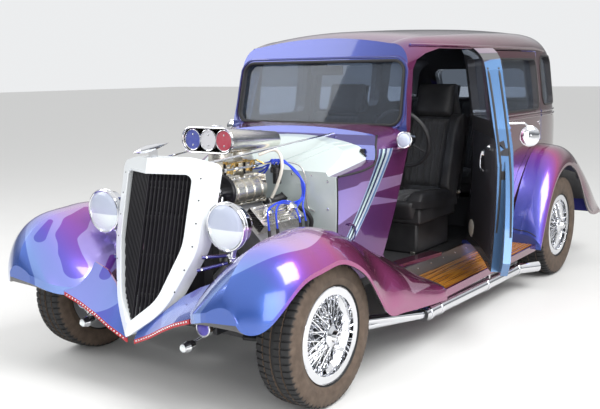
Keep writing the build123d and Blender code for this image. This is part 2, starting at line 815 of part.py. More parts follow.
def rear_axle():
    """Axle tube with its gear housing, spring seats up to the rails and stub ends for the wheels."""
    z = rear_tyre_radius
    end = rear_tyre_x + 80
    axle = rod((-rear_tyre_x + 94, rear_axle_y, z), (rear_tyre_x - 94, rear_axle_y, z), 38)
    axle = axle + rod((-end, rear_axle_y, z), (end, rear_axle_y, z), hub_bore_radius)
    axle = axle + spun([(-95, 0), (-85, 85), (-35, 122), (35, 122), (85, 85), (95, 0)], (0, rear_axle_y, z), (1, 0, 0))
    for side in (-1, 1):
        x = side * (rail_x[0] + rail_x[1]) / 2
        axle = axle + block((x - 25, x + 25), (rear_axle_y - 40, rear_axle_y + 40), (z + 20, rail_kick_z))
        disc = rod((side * (rear_tyre_x - 108), rear_axle_y, z), (side * (rear_tyre_x - 94), rear_axle_y, z), brake_radius)
        axle = axle + disc
    return axle


def engine_block():
    """Vee engine with gearbox as one plain mass, heads tilted to each side."""
    y = engine_y
    core = front_prism([(-90, 335), (90, 335), (block_half_width, 470), (120, 600), (95, 700), (-95, 700), (-120, 600),
                        (-block_half_width, 470)], y[0] + 30, y[1])
    for side in (-1, 1):
        head = Pos(side * 205, (y[0] + y[1]) / 2 + 20, 668) * Rot(0, side * bank_angle, 0) * Box(200, y[1] - y[0] - 30, 150)
        core = core + head
    manifold = front_prism([(-110, 700), (110, 700), (95, blower_z[0]), (-95, blower_z[0])], y[0] + 50, y[1] - 50)
    gearbox = block((-120, 120), (y[1], -300), (340, 560))
    mounts = block((-rail_x[0], rail_x[0]), (-1160, -1110), (rail_low_z + 50, rail_low_z + 85))
    return core + manifold + gearbox + mounts


def valve_covers():
    """Finned cover on each head."""
    covers = []
    length = engine_y[1] - engine_y[0] - 60
    for side in (-1, 1):
        place = Pos(side * 205, (engine_y[0] + engine_y[1]) / 2 + 20, 668) * Rot(0, side * bank_angle, 0)
        cover = place * Pos(0, 0, 75 + 30) * Box(120, length, 60)
        for index in range(-3, 4):
            cover = cover + place * Pos(index * 15, 0, 75 + 62) * Box(5, length - 40, 8)
        covers.append(cover)
    return covers


def blower():
    """Blower case with round flanks and ribs, and its belt drive at the front."""
    y = blower_y
    z_mid = (blower_z[0] + blower_z[1]) / 2
    reach = blower_half_width - (blower_z[1] - blower_z[0]) / 2
    case = block((-reach, reach), y, blower_z)
    for side in (-1, 1):
        flank = rod((side * reach, y[0], z_mid), (side * reach, y[1], z_mid), (blower_z[1] - blower_z[0]) / 2)
        case = case + flank
        for step in range(4):
            rib_y = y[0] + 24 + step * 62
            rib = rod((side * reach, rib_y, z_mid), (side * reach, rib_y + 9, z_mid), z_mid - blower_z[0] + 5)
            case = case + (rib & block((-2 * reach, 2 * reach), y, blower_z))
    snout = rod((0, y[0] - 70, z_mid), (0, y[0], z_mid), 45)
    pulley = rod((0, y[0] - 120, z_mid), (0, y[0] - 70, z_mid), 78)
    crank = rod((0, y[0] - 120, 500), (0, y[0] - 50, 500), 85)
    belt = front_prism([(-76, z_mid), (-84, 500), (84, 500), (76, z_mid)], y[0] - 118, y[0] - 74)
    return case + snout + pulley + belt + crank


def carburettors():
    """Two carburettors with bowls on the blower and a plate below the scoop."""
    shapes = []
    for y in (-1190, -1040):
        base = block((-70, 70), (y - 60, y + 60), (blower_z[1], blower_z[1] + 14))
        body = base + block((-48, 48), (y - 40, y + 40), (blower_z[1] + 14, scoop_z[0] - 34))
        body = body + block((-34, 34), (y - 66, y + 66), (blower_z[1] + 26, blower_z[1] + 78))
        body = body + rod((0, y, scoop_z[0] - 34), (0, y, scoop_z[0]), 62)
        shapes.append(body)
    return shapes


def scoop_form(shrink, front, rear):
    """Stadium-ended body that tapers to the rear, shrunk by a wall."""
    low, high = scoop_z
    wires = []
    for y, half, top in ((front, scoop_half_width, high), (rear, scoop_half_width - 22, high - 42)):
        height = top - low - 2 * shrink
        outline = RectangleRounded(2 * (half - shrink), height, height / 2 - 1)
        plane = Plane(origin=(0, y, (low + top) / 2), x_dir=(1, 0, 0), z_dir=(0, -1, 0))
        wires.append((plane * outline).faces()[0].outer_wire())
    return Solid.make_loft(wires)


def scoop():
    """Long polished air scoop, its mouth filled by three flaps."""
    form = scoop_form(0, scoop_y[0], scoop_y[1])
    hollow = scoop_form(scoop_wall, scoop_y[0] - 1, scoop_y[1] - 60)
    return form - hollow


def scoop_flaps():
    """Three round flaps on a cross shaft in the scoop's mouth."""
    z = (scoop_z[0] + scoop_z[1]) / 2
    y = scoop_y[0] + 12
    reach = scoop_half_width - scoop_wall - 2
    shaft = rod((-reach, y, z), (reach, y, z), 4)
    for x in (-flap_pitch, 0, flap_pitch):
        shaft = shaft + rod((x, y - 4, z), (x, y + 4, z), flap_radius)
    return shaft


def radiator():
    """Radiator core with tanks behind the grille, standing on the front crossmember."""
    half = 195
    core = block((-half, half), (-1548, -1490), (420, 960))
    tank = block((-half, half), (-1548, -1480), (960, 985))
    foot = block((-half, half), (-1685, -1490), (rail_low_z + 70, 420))
    shape = core + tank + foot
    for z in (780, 900):
        shape = shape + block((-203, 203), (-1588, -1548), (z, z + 20))
    return shape


def exhaust_side():
    """Left side pipe with a turned-out tip and two header tubes that come down behind the front wheel."""
    turn = math.radians(pipe_tip_angle)
    tip = (pipe_rear[0] + pipe_tip_length * math.sin(turn), pipe_rear[1] + pipe_tip_length * math.cos(turn),
           pipe_rear[2])
    main = rod(pipe_front, pipe_rear, pipe_radius)
    main = main + spun([(0, 0), (-pipe_radius * 0.6, 0), (-pipe_radius * 0.6, pipe_radius * 0.8), (0, pipe_radius),
                        (4, pipe_radius), (4, 0)], pipe_rear, tuple(Vector(*tip) - Vector(*pipe_rear)))
    main = main + rod(pipe_rear, tip, pipe_radius)
    axis = (Vector(*tip) - Vector(*pipe_rear)).normalized()
    bore_start = Vector(*tip) - axis * pipe_bore_length
    bore = rod(tuple(bore_start), tuple(Vector(*tip) + axis * 5), pipe_bore_radius)
    x, y, z = pipe_front
    tubes = None
    for shift, drop in ((0, 0), (-60, 34)):
        path = [(block_half_width + 110, y - 420 + shift, 600), (460, y - 420 + shift, 470 + drop / 2),
                (640, y - 330 + shift / 2, z + drop), (x, y + 30, z)]
        bent = tube_path(path, header_radius, 60)
        tubes = bent if tubes is None else tubes + bent
    hanger = block((x - 12, x + 12), (280, 300), (z - 10, board_z[0]))
    return main + tubes + hanger - bore


def headlamps():
    """Headlamp bowl on its bracket from the fender."""
    x, y, z = headlamp
    r = headlamp_radius
    bowl = spun([(0, 0), (0, r - 9), (-4, r - 9), (-4, r), (14, r), (18, r - 6), (60, r - 16), (110, r - 50),
                 (headlamp_depth, 22), (headlamp_depth + 6, 0)], headlamp, (0, 1, 0))
    stalk = rod((x, y + 60, z - 60), (x - 30, y + 66, 618), 14)
    return bowl + stalk


def lamp_lenses():
    """Clear lenses of the headlamps."""
    x, y, z = headlamp
    r = headlamp_radius - 9 - floor_gap
    return spun([(-floor_gap, 0), (-floor_gap, r), (-8, r), (-20, r * 0.6), (-24, 0)], (x, y, z), (0, 1, 0))


def small_lamps():
    """Cowl lamps, bullet signals, low front lamps and tail lamps on their stalks."""
    cowl_lamp = spun([(-55, 0), (-50, 30), (-40, 42), (-30, 44), (10, 38), (45, 18), (55, 0)], (652, -453, 1087),
                     (0, 1, 0))
    cowl_lamp = cowl_lamp + rod((650, -453, 1060), (570, -453, 1030), 9)
    signal = spun([(-45, 0), (-35, 18), (-10, 26), (25, 20), (50, 0)], (325, -1800, 290), (0, 1, 0))
    signal = signal + rod((327, -1790, 295), (345, -1600, 345), 7)
    low_lamp = spun([(-34, 0), (-30, 36), (-10, 40), (20, 28), (34, 0)], (391, -1750, 375), (0, 1, 0))
    low_lamp = low_lamp + rod((391, -1745, 375), (370, -1600, 385), 7)
    tail_lamp = spun([(40, 0), (34, 38), (10, 42), (-20, 30), (-50, 0)], (600, 2190, 640), (0, 1, 0))
    tail_lamp = tail_lamp + rod((600, 2185, 640), (660, 2112, 616), 8)
    return cowl_lamp, signal, low_lamp, tail_lamp


def apron_strip():
    """Left half of the narrow strip below the apron's edge."""
    strip = apron_sheet(0, 7, 20)
    return strip - shell_prism(0.05)


def ornament():
    """Plain streamlined dart on a foot at the top of the shell."""
    foot = block((-9, 9), (-1668, -1628), (shell_top_z - 8, shell_top_z + 34))
    dart = spun([(-110, 0), (-80, 12), (-30, 17), (30, 13), (110, 0)], (0, -1655, shell_top_z + 42), (0, 1, 0.12))
    return foot + dart


def stay_rods():
    """Left stay rod from the shell to the cowl."""
    return rod((150, -1600, 1025), (252, -550, 1112), 6)


def firewall_side(inset):
    """Side view of the firewall: an upright face and a slope up to the cowl's edge."""
    front = cowl_front_y - firewall_wall + inset
    low = sill_z - 4 * inset
    return [(front, low), (front, 945 - inset), (-536, 1122 - inset), (-524, 1114 - inset), (-524, low)]


def firewall():
    """Thin folded panel that closes the cowl and slopes back over the driver's feet."""
    y, half, top = cowl_sections[0]
    grow = cowl_wall + floor_gap
    form = cowl_form(-grow, sill_z - 40, 20)
    outer = form & side_prism(firewall_side(0), -700, 700)
    inner = cowl_form(-grow - firewall_wall, sill_z - 80, 30) & side_prism(firewall_side(firewall_wall), -700, 700)
    rim = Solid.extrude(Face(cowl_section(y, half, top, 0, sill_z)), Vector(0, -firewall_wall, 0))
    rim = rim - block((-700, 700), (-1000, 0), (925, 1400)) - form
    ribs = None
    for x in (-260, 0, 260):
        rib = side_prism([(y - firewall_wall - 5, 600), (y - firewall_wall - 5, 880), (y, 880), (y, 600)],
                         x - 16, x + 16)
        ribs = rib if ribs is None else ribs + rib
    hollow = outer - inner + rim + ribs
    return hollow - block((-130, 130), (-900, -860), (0, 570))


def floor_pan():
    """Flat cab floor with its tunnel, raised over the rear axle, and the rear wheel tubs."""
    right = [(cowl_sections[0][1] - cowl_wall - 10, -863), (540, -380), (board_x[0] - 10, 0), (board_x[0] - 10, 900)]
    outline = right + [(-x, y) for x, y in reversed(right)]
    floor = plan_prism(outline, sill_z - 10, sill_z)
    raised = side_prism([(900, sill_z - 10), (900, sill_z), (1030, 555), (2060, 555), (2060, 545), (1034, 545),
                         (915, sill_z - 10)], -552, 552)
    raised = raised & cab_form(-body_wall - floor_gap, sill_z - 40)
    tunnel = block((-150, 150), (-866, -240), (sill_z - 10, 585)) - block((-140, 140), (-900, -250), (300, 575))
    floor = floor - block((-140, 140), (-900, -250), (300, 575))
    pan = floor + raised + tunnel
    radius = rear_tyre_radius + 60 - floor_gap
    tub = rod((546, rear_axle_y, 350), (608, rear_axle_y, 350), radius)
    tub = tub - rod((556, rear_axle_y, 350), (620, rear_axle_y, 350), radius - 10)
    tub = tub - block((500, 700), (0, 2400), (-100, 548))
    rails = block((rail_x[0], rail_x[1]), (1180, 1650), (540, 545))
    return pan + tub + mirrored(tub) + rails + mirrored(rails)


def dashboard():
    """Dashboard with the steering column through it."""
    panel = block((-526, 526), (-338, -300), (985, 1125))
    foot = Vector(*column_low) - steering_axis() * ((column_low[1] - cowl_front_y + 6) / steering_axis().Y)
    column = rod(tuple(foot), column_high, 21)
    hub_pin = Vector(*column_high) + steering_axis() * 40
    pin = rod(column_high, tuple(hub_pin), 12)
    bracket = block((340, 400), (-338, -300), (930, 990))
    return panel + column + pin + bracket


def steering_axis():
    """Direction of the steering column, towards the driver."""
    return (Vector(*column_high) - Vector(*column_low)).normalized()


def steering_wheel():
    """Rim, three spokes and hub round the column's pin."""
    axis = steering_axis()
    start = Vector(*column_high) + axis * 2
    hub = spun([(0, 12 + slide_gap), (0, 32), (20, 38), (44, 26), (48, 0), (40, 0), (40, 12 + slide_gap)],
               tuple(start), tuple(axis))
    plane = Plane(origin=start + axis * 20, z_dir=axis, x_dir=(1, 0, 0))
    grip = []
    for angle in range(18, 378, 36):
        turn = math.radians(angle)
        grip.append((20 + 13 * math.cos(turn), steering_wheel_radius + 13 * math.sin(turn)))
    wheel = hub + spun(grip, tuple(start), tuple(axis))
    for angle in (30, 150, 270):
        end = plane.from_local_coords(Vector(steering_wheel_radius - 6, 0, 0).rotate(Axis.Z, angle))
        wheel = wheel + rod(tuple(start + axis * 20), tuple(end), 7)
    return wheel - rod(tuple(start - axis), tuple(start + axis * 40), 12 + slide_gap)


def front_seat():
    """Left bucket seat as a plain closed form: cushion, high back and base."""
    cushion = side_prism([(-100, 560), (-100, 700), (-60, 735), (380, 690), (380, 560)], 130, 545)
    back = side_prism([(300, 640), (420, 640), (560, 1080), (585, 1330), (560, 1354), (480, 1354), (430, 1080)], 130,
                      545)
    base = block((170, 505), (-60, 360), (sill_z, 560))
    return cushion + back + base


def rear_seat():
    """Rear bench as a plain closed form."""
    cushion = side_prism([(1000, 580), (1000, 720), (1040, 745), (1480, 700), (1480, 580)], -535, 535)
    back = side_prism([(1440, 640), (1600, 640), (1700, 1200), (1660, 1240), (1580, 1220)], -535, 535)
    base = block((-500, 500), (1100, 1480), (555, 580))
    return cushion + back + base


def fuel_tank():
    """Tank between the rails behind the rear axle."""
    return block((-rail_x[0], rail_x[0]), (1640, 1920), (340, 455))


def mirror():
    """Round mirror that hangs from a swan neck on the left door skin, drawn with the door shut."""
    y = mirror_y
    x, z = mirror_head
    arm = tube_path([(600, y, mirror_arm_z), (x - 30, y, mirror_arm_z), (x, y, mirror_arm_z - 24), (x, y, z)], 6, 16)
    return arm + rod((x, y - 10, z), (x, y + 6, z), mirror_radius)


def build_nodes():
    """Every node with its solids, in car axes."""
    roof, cowl_node, posts, rear, door_front, door_rear = body_pieces()
    cab_body = cab_form(floor_gap, 0)
    cowl_body = cowl_form(floor_gap, 0, firewall_wall + floor_gap)
    posts_left = posts & block((0, 900), (-900, 2400), (0, 1900))
    for hinge_y in (front_hinge_y, rear_hinge_y):
        for lug in hinge_lugs(hinge_y):
            posts_left = posts_left + lug
    door_front = door_front + hinge_barrels(front_hinge_y, -1)
    door_rear = door_rear + hinge_barrels(rear_hinge_y, 1)
    door_mirror = mirror() - door_front
    front_pane = door_glass(rounded_window((-205 + floor_gap, 372 - floor_gap), (1172 + floor_gap, 1500 - floor_gap),
                                           45, 400, 900))
    rear_pane = door_glass(rounded_window((560 + floor_gap, 1380 - floor_gap), (1172 + floor_gap, 1500 - floor_gap),
                                          45, 400, 900))

    shell = grille_shell()
    frame = chassis_frame()
    beam, arms = front_suspension()
    block_form = engine_block()
    fender_front = front_fender() - cowl_body - cab_body
    fender_rear = rear_fender() - cab_body
    cowl_lamp, signal, low_lamp, tail_lamp = small_lamps()
    lamps = [largest(cowl_lamp - cowl_node), signal - frame, low_lamp - frame, tail_lamp - fender_rear]
    fire = firewall()
    stay = largest(stay_rods() - shell - fire)
    apron = largest(front_apron() - fender_front - frame)
    strip = largest(apron_strip() - fender_front - apron)
    headlamp_form = largest(headlamps() - fender_front)
    steer_column = largest(dashboard() - fire)
    exhaust = exhaust_side() - block_form - frame
    axle = rear_axle() - frame
    turned = door_open_angle

    nodes = {
        "chassis_frame": [frame],
        "front_suspension": [beam + (arms - frame) + mirrored(arms - frame)],
        "rear_axle": [axle],
        "engine_block": [block_form],
        "valve_covers": valve_covers(),
        "blower": [blower()],
        "carburettors": carburettors(),
        "scoop": [scoop()],
        "scoop_flaps": [scoop_flaps()],
        "exhaust_pipes": both_sides(exhaust),
        "radiator": [radiator() - shell],
        "grille_shell": [shell],
        "grille_bars": [grille_bars()],
        "ornament": [ornament() - shell],
        "stay_rods": both_sides(stay),
        "firewall": [fire],
        "cowl": [cowl_node],
        "roof": [roof],
        "rear_body": [rear],
        "door_posts": both_sides(posts_left),
        "floor_pan": [floor_pan()],
        "cab_glass": cab_glass(),
        "front_fenders": both_sides(fender_front),
        "rear_fenders": both_sides(fender_rear),
        "running_boards": both_sides(running_board()),
        "board_slats": [piece for slat in board_slats() for piece in both_sides(slat)],
        "front_apron": both_sides(apron),
        "apron_strip": both_sides(strip),
        "headlamps": both_sides(headlamp_form),
        "lamp_lenses": both_sides(lamp_lenses()),
        "small_lamps": [piece for lamp in lamps for piece in both_sides(lamp)],
        "front_seats": both_sides(front_seat()),
        "rear_seat": [rear_seat()],
        "dashboard": [steer_column],
        "fuel_tank": [fuel_tank() - frame],
        "steering_wheel": [steering_wheel()],
        "door_front_left": [opened(door_front, turned)],
        "door_front_right": [mirrored(door_front)],
        "door_rear_left": [door_rear],
        "door_rear_right": [mirrored(door_rear)],
        "glass_front_left": [opened(front_pane, turned)],
        "glass_front_right": [mirrored(front_pane)],
        "glass_rear_left": [rear_pane],
        "glass_rear_right": [mirrored(rear_pane)],
        "mirror_left": [opened(door_mirror, turned)],
        "mirror_right": [mirrored(door_mirror)],
    }
    stub = knuckle()
    nodes["knuckle_left"] = [stub]
    nodes["knuckle_right"] = [mirrored(stub)]
    front_wheel = Pos(front_tyre_x, front_axle_y, front_tyre_radius) * wire_wheel(front_rim_width)
    rear_wheel = Pos(rear_tyre_x, rear_axle_y, rear_tyre_radius) * wire_wheel(rear_rim_width)
    front_tyre = Pos(front_tyre_x, front_axle_y, front_tyre_radius) * tyre(front_tyre_radius, front_tyre_width, front_rim_width)
    rear_tyre = Pos(rear_tyre_x, rear_axle_y, rear_tyre_radius) * tyre(rear_tyre_radius, rear_tyre_width, rear_rim_width)
    for place, wheel_form, tyre_form in (("front", front_wheel, front_tyre), ("rear", rear_wheel, rear_tyre)):
        nodes["wheel_" + place + "_left"] = [wheel_form]
        nodes["wheel_" + place + "_right"] = [mirrored(wheel_form)]
        nodes["tyre_" + place + "_left"] = [tyre_form]
        nodes["tyre_" + place + "_right"] = [mirrored(tyre_form)]
    return nodes


def solids_of(shapes):
    """Flat list of the solids in a list of shapes."""
    return [solid for shape in shapes for solid in shape.solids()]


# Nodes that reach the car's outermost planes
outermost = ("front_fenders", "rear_fenders", "grille_shell", "roof", "small_lamps", "door_front_left",
             "mirror_left", "mirror_right", "tyre_front_left", "tyre_rear_left", "tyre_rear_right")

nodes = {name: solids_of(shapes) for name, shapes in build_nodes().items()}
outline_box = Compound(children=[solid for name in outermost for solid in nodes[name]]).bounding_box()
origin_shift = Vector(
    -(outline_box.min.X + outline_box.max.X) / 2, -(outline_box.min.Y + outline_box.max.Y) / 2, -outline_box.min.Z)
print("origin shift", origin_shift)
for name, solids in nodes.items():
    part = Compound(children=[solid.moved(Location(origin_shift)) for solid in solids])
    part.label = name
    export_step(part, "parts/" + name + ".step")
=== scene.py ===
import json
import math

import bpy
import bmesh
import numpy
from mathutils import Matrix, Vector
from mathutils.bvhtree import BVHTree


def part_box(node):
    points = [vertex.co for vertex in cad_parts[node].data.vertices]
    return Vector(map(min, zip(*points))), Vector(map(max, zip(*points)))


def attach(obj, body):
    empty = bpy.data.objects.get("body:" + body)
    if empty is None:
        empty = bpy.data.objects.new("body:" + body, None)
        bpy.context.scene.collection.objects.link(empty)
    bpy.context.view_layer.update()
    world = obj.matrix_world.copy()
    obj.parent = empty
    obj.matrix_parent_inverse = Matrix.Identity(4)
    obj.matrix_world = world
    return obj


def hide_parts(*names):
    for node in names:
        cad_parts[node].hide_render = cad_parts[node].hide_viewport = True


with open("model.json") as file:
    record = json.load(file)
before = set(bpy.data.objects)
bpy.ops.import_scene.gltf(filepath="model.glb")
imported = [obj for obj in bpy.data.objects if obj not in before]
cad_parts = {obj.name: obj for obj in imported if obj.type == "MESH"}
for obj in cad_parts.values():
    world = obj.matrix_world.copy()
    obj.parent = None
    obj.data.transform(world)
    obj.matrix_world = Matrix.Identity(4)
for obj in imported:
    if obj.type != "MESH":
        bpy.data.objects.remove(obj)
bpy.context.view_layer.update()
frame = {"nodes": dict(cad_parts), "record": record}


# Car axes: x = 0 on the centreline with the car's left at +X, y = 0 midway between the axles with
# the front at -Y. place() turns millimetres along these axes into the frame.

def middle(node):
    """Centre of a node's box."""
    low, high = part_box(node)
    return (Vector(low) + Vector(high)) / 2


wheel_middles = [middle("wheel_" + end + "_" + side)
                 for end in ("front", "rear") for side in ("left", "right")]
car_x = sum(point.x for point in wheel_middles) / 4
car_y = sum(point.y for point in wheel_middles) / 4
front_axle_y = -1422.5
rear_axle_y = 1422.5


def place(x, y, z):
    """A point given in car millimetres, in the frame's metres."""
    return Vector((car_x + x / 1000, car_y + y / 1000, z / 1000))


def in_car(point):
    """A point of the frame in car millimetres."""
    return Vector(((point[0] - car_x) * 1000, (point[1] - car_y) * 1000, point[2] * 1000))


joint_ranges = {joint["name"]: joint.get("range_deg") for joint in frame["record"]["behaviour"]["joints"]}
door_angle = math.radians(-joint_ranges["front_left_door_hinge"][0])
door_hinge = Vector((712, 447, 0))


def swung(point):
    """A point of the shut left front door, where it is with the door open as parked."""
    return Matrix.Rotation(door_angle, 3, "Z") @ (Vector(point) - door_hinge) + door_hinge


def as_drawn(point):
    """A point left where it is."""
    return Vector(point)


def other_side(point):
    """The same point on the car's right."""
    return Vector((-point[0], point[1], point[2]))


# Forms

def curve_through(points, steps=8, closed=False):
    """Smooth line through points, as a list of points."""
    points = [Vector(point) for point in points]
    count = len(points)
    line = []
    spans = count if closed else count - 1
    for index in range(spans):
        if closed:
            before, start, end, after = (points[(index + shift) % count] for shift in (-1, 0, 1, 2))
        else:
            start = points[index]
            end = points[index + 1]
            before = points[index - 1] if index else start * 2 - end
            after = points[index + 2] if index + 2 < count else end * 2 - start
        for step in range(steps):
            t = step / steps
            bend = 2 * before - 5 * start + 4 * end - after
            twist = 3 * start - before - 3 * end + after
            line.append(0.5 * (2 * start + (end - before) * t + bend * t * t + twist * t ** 3))
    if not closed:
        line.append(points[-1])
    return line


def square_pair(direction):
    """Two directions square to the given one."""
    direction = Vector(direction).normalized()
    helper = Vector((0, 0, 1)) if abs(direction.z) < 0.9 else Vector((0, 1, 0))
    first = direction.cross(helper).normalized()
    return first, direction.cross(first)


class Form:
    """Mesh put together from simple worked shapes, in car millimetres."""

    def __init__(self):
        self.points = []
        self.faces = []

    def add(self, points, faces):
        """Points with faces that count from the first of them."""
        start = len(self.points)
        self.points += [Vector(point) for point in points]
        self.faces += [tuple(start + index for index in face) for face in faces]

    def rings(self, rings, closed_ring=True, loop=False, capped=True):
        """Skin over rings that have the same number of points."""
        size = len(rings[0])
        points = [point for ring in rings for point in ring]
        faces = []
        spans = len(rings) if loop else len(rings) - 1
        for row in range(spans):
            following = (row + 1) % len(rings)
            for column in range(size if closed_ring else size - 1):
                beside = (column + 1) % size
                faces.append((row * size + column, row * size + beside,
                              following * size + beside, following * size + column))
        if capped and closed_ring and not loop:
            faces.append(tuple(reversed(range(size))))
            faces.append(tuple(range((len(rings) - 1) * size, len(rings) * size)))
        self.add(points, faces)

    def tube(self, path, radius, sides=10, closed=False, flat=1.0):
        """Round or flattened bar along a path."""
        path = [Vector(point) for point in path]
        count = len(path)
        heading = (path[1] - path[0]).normalized()
        across, _ = square_pair(heading)
        rings = []
        for index in range(count):
            if closed:
                ahead = path[(index + 1) % count] - path[index - 1]
            else:
                ahead = path[min(index + 1, count - 1)] - path[max(index - 1, 0)]
            ahead.normalize()
            across = (across - ahead * across.dot(ahead)).normalized()
            up = ahead.cross(across)
            ring = []
            for step in range(sides):
                angle = 2 * math.pi * step / sides
                ring.append(path[index] + across * math.cos(angle) * radius
                            + up * math.sin(angle) * radius * flat)
            rings.append(ring)
        self.rings(rings, loop=closed)

    def spun(self, profile, spot, direction, steps=32):
        """Surface of revolution: the profile gives distance along the axis and radius."""
        spot = Vector(spot)
        direction = Vector(direction).normalized()
        first, second = square_pair(direction)
        rings = []
        for along, radius in profile:
            ring = []
            for step in range(steps):
                angle = 2 * math.pi * step / steps
                outward = first * math.cos(angle) + second * math.sin(angle)
                ring.append(spot + direction * along + outward * radius)
            rings.append(ring)
        self.rings(rings)

    def box(self, low, high):
        """Box between two corners."""
        points = [(x, y, z) for x in (low[0], high[0]) for y in (low[1], high[1]) for z in (low[2], high[2])]
        faces = [(0, 1, 3, 2), (4, 6, 7, 5), (0, 4, 5, 1), (2, 3, 7, 6), (0, 2, 6, 4), (1, 5, 7, 3)]
        self.add(points, faces)

    def bolt(self, spot, direction, radius=6, height=4):
        """Six-sided bolt head with a washer."""
        self.spun([(0, radius * 1.35), (height * 0.25, radius * 1.35)], spot, direction, 14)
        head = [(height * 0.2, radius), (height * 0.85, radius), (height, radius * 0.8)]
        self.spun(head, spot, direction, 6)

    def hoop(self, spot, radius, thick, step=6):
        """Round bar bent to a circle that faces ahead."""
        x, y, z = spot
        angles = [math.radians(angle) for angle in range(0, 360, step)]
        circle = [(x + math.cos(angle) * radius, y, z + math.sin(angle) * radius) for angle in angles]
        self.tube(circle, thick, 8, closed=True)

    def twin_tubes(self, path, radius, sides=8, closed=False):
        """The same bar on both sides of the car."""
        self.tube(path, radius, sides, closed)
        self.tube([other_side(point) for point in path], radius, sides, closed)

    def piece(self, name, finish, body="root", change=as_drawn, bevel=0.0, sharp=40):
        """Makes the object, gives it its material and lets it ride on its body."""
        mesh = bpy.data.meshes.new(name)
        mesh.from_pydata([place(*change(point)) for point in self.points], [], self.faces)
        work = bmesh.new()
        work.from_mesh(mesh)
        bmesh.ops.recalc_face_normals(work, faces=work.faces)
        work.to_mesh(mesh)
        work.free()
        mesh.polygons.foreach_set("use_smooth", [True] * len(mesh.polygons))
        mesh.set_sharp_from_angle(angle=math.radians(sharp))
        mesh.materials.append(materials[finish])
        made = bpy.data.objects.new(name, mesh)
        bpy.context.scene.collection.objects.link(made)
        if bevel:
            modifier = made.modifiers.new("edges", "BEVEL")
            modifier.width = bevel / 1000
            modifier.segments = 2
            modifier.limit_method = "ANGLE"
        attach(made, body)
        return made


trees = {}


def surface(node, start, direction):
    """Where a line in car millimetres meets a node's surface, with the surface's direction there."""
    if node not in trees:
        trees[node] = BVHTree.FromObject(frame["nodes"][node], bpy.context.evaluated_depsgraph_get())
    spot, normal, _, _ = trees[node].ray_cast(place(*start), Vector(direction))
    if spot is None:
        return None, None
    return in_car(spot), normal


# Where lines start that look for a surface from the side, from behind and from ahead
from_side, from_back, from_front = 1100, 2600, -2100


def traced(node, starts, direction, lift=0.0):
    """Points where lines from the starts meet a node, lifted off its surface."""
    found = []
    for start in starts:
        spot, normal = surface(node, start, direction)
        if spot:
            found.append(spot + Vector(normal) * lift)
    return found


# Materials

def set_stops(ramp, stops):
    """Gives a colour ramp its stops, each a position and a colour."""
    while len(ramp.elements) < len(stops):
        ramp.elements.new(0.5)
    for element, (position, colour) in zip(ramp.elements, stops):
        element.position = position
        element.color = (*colour, 1)


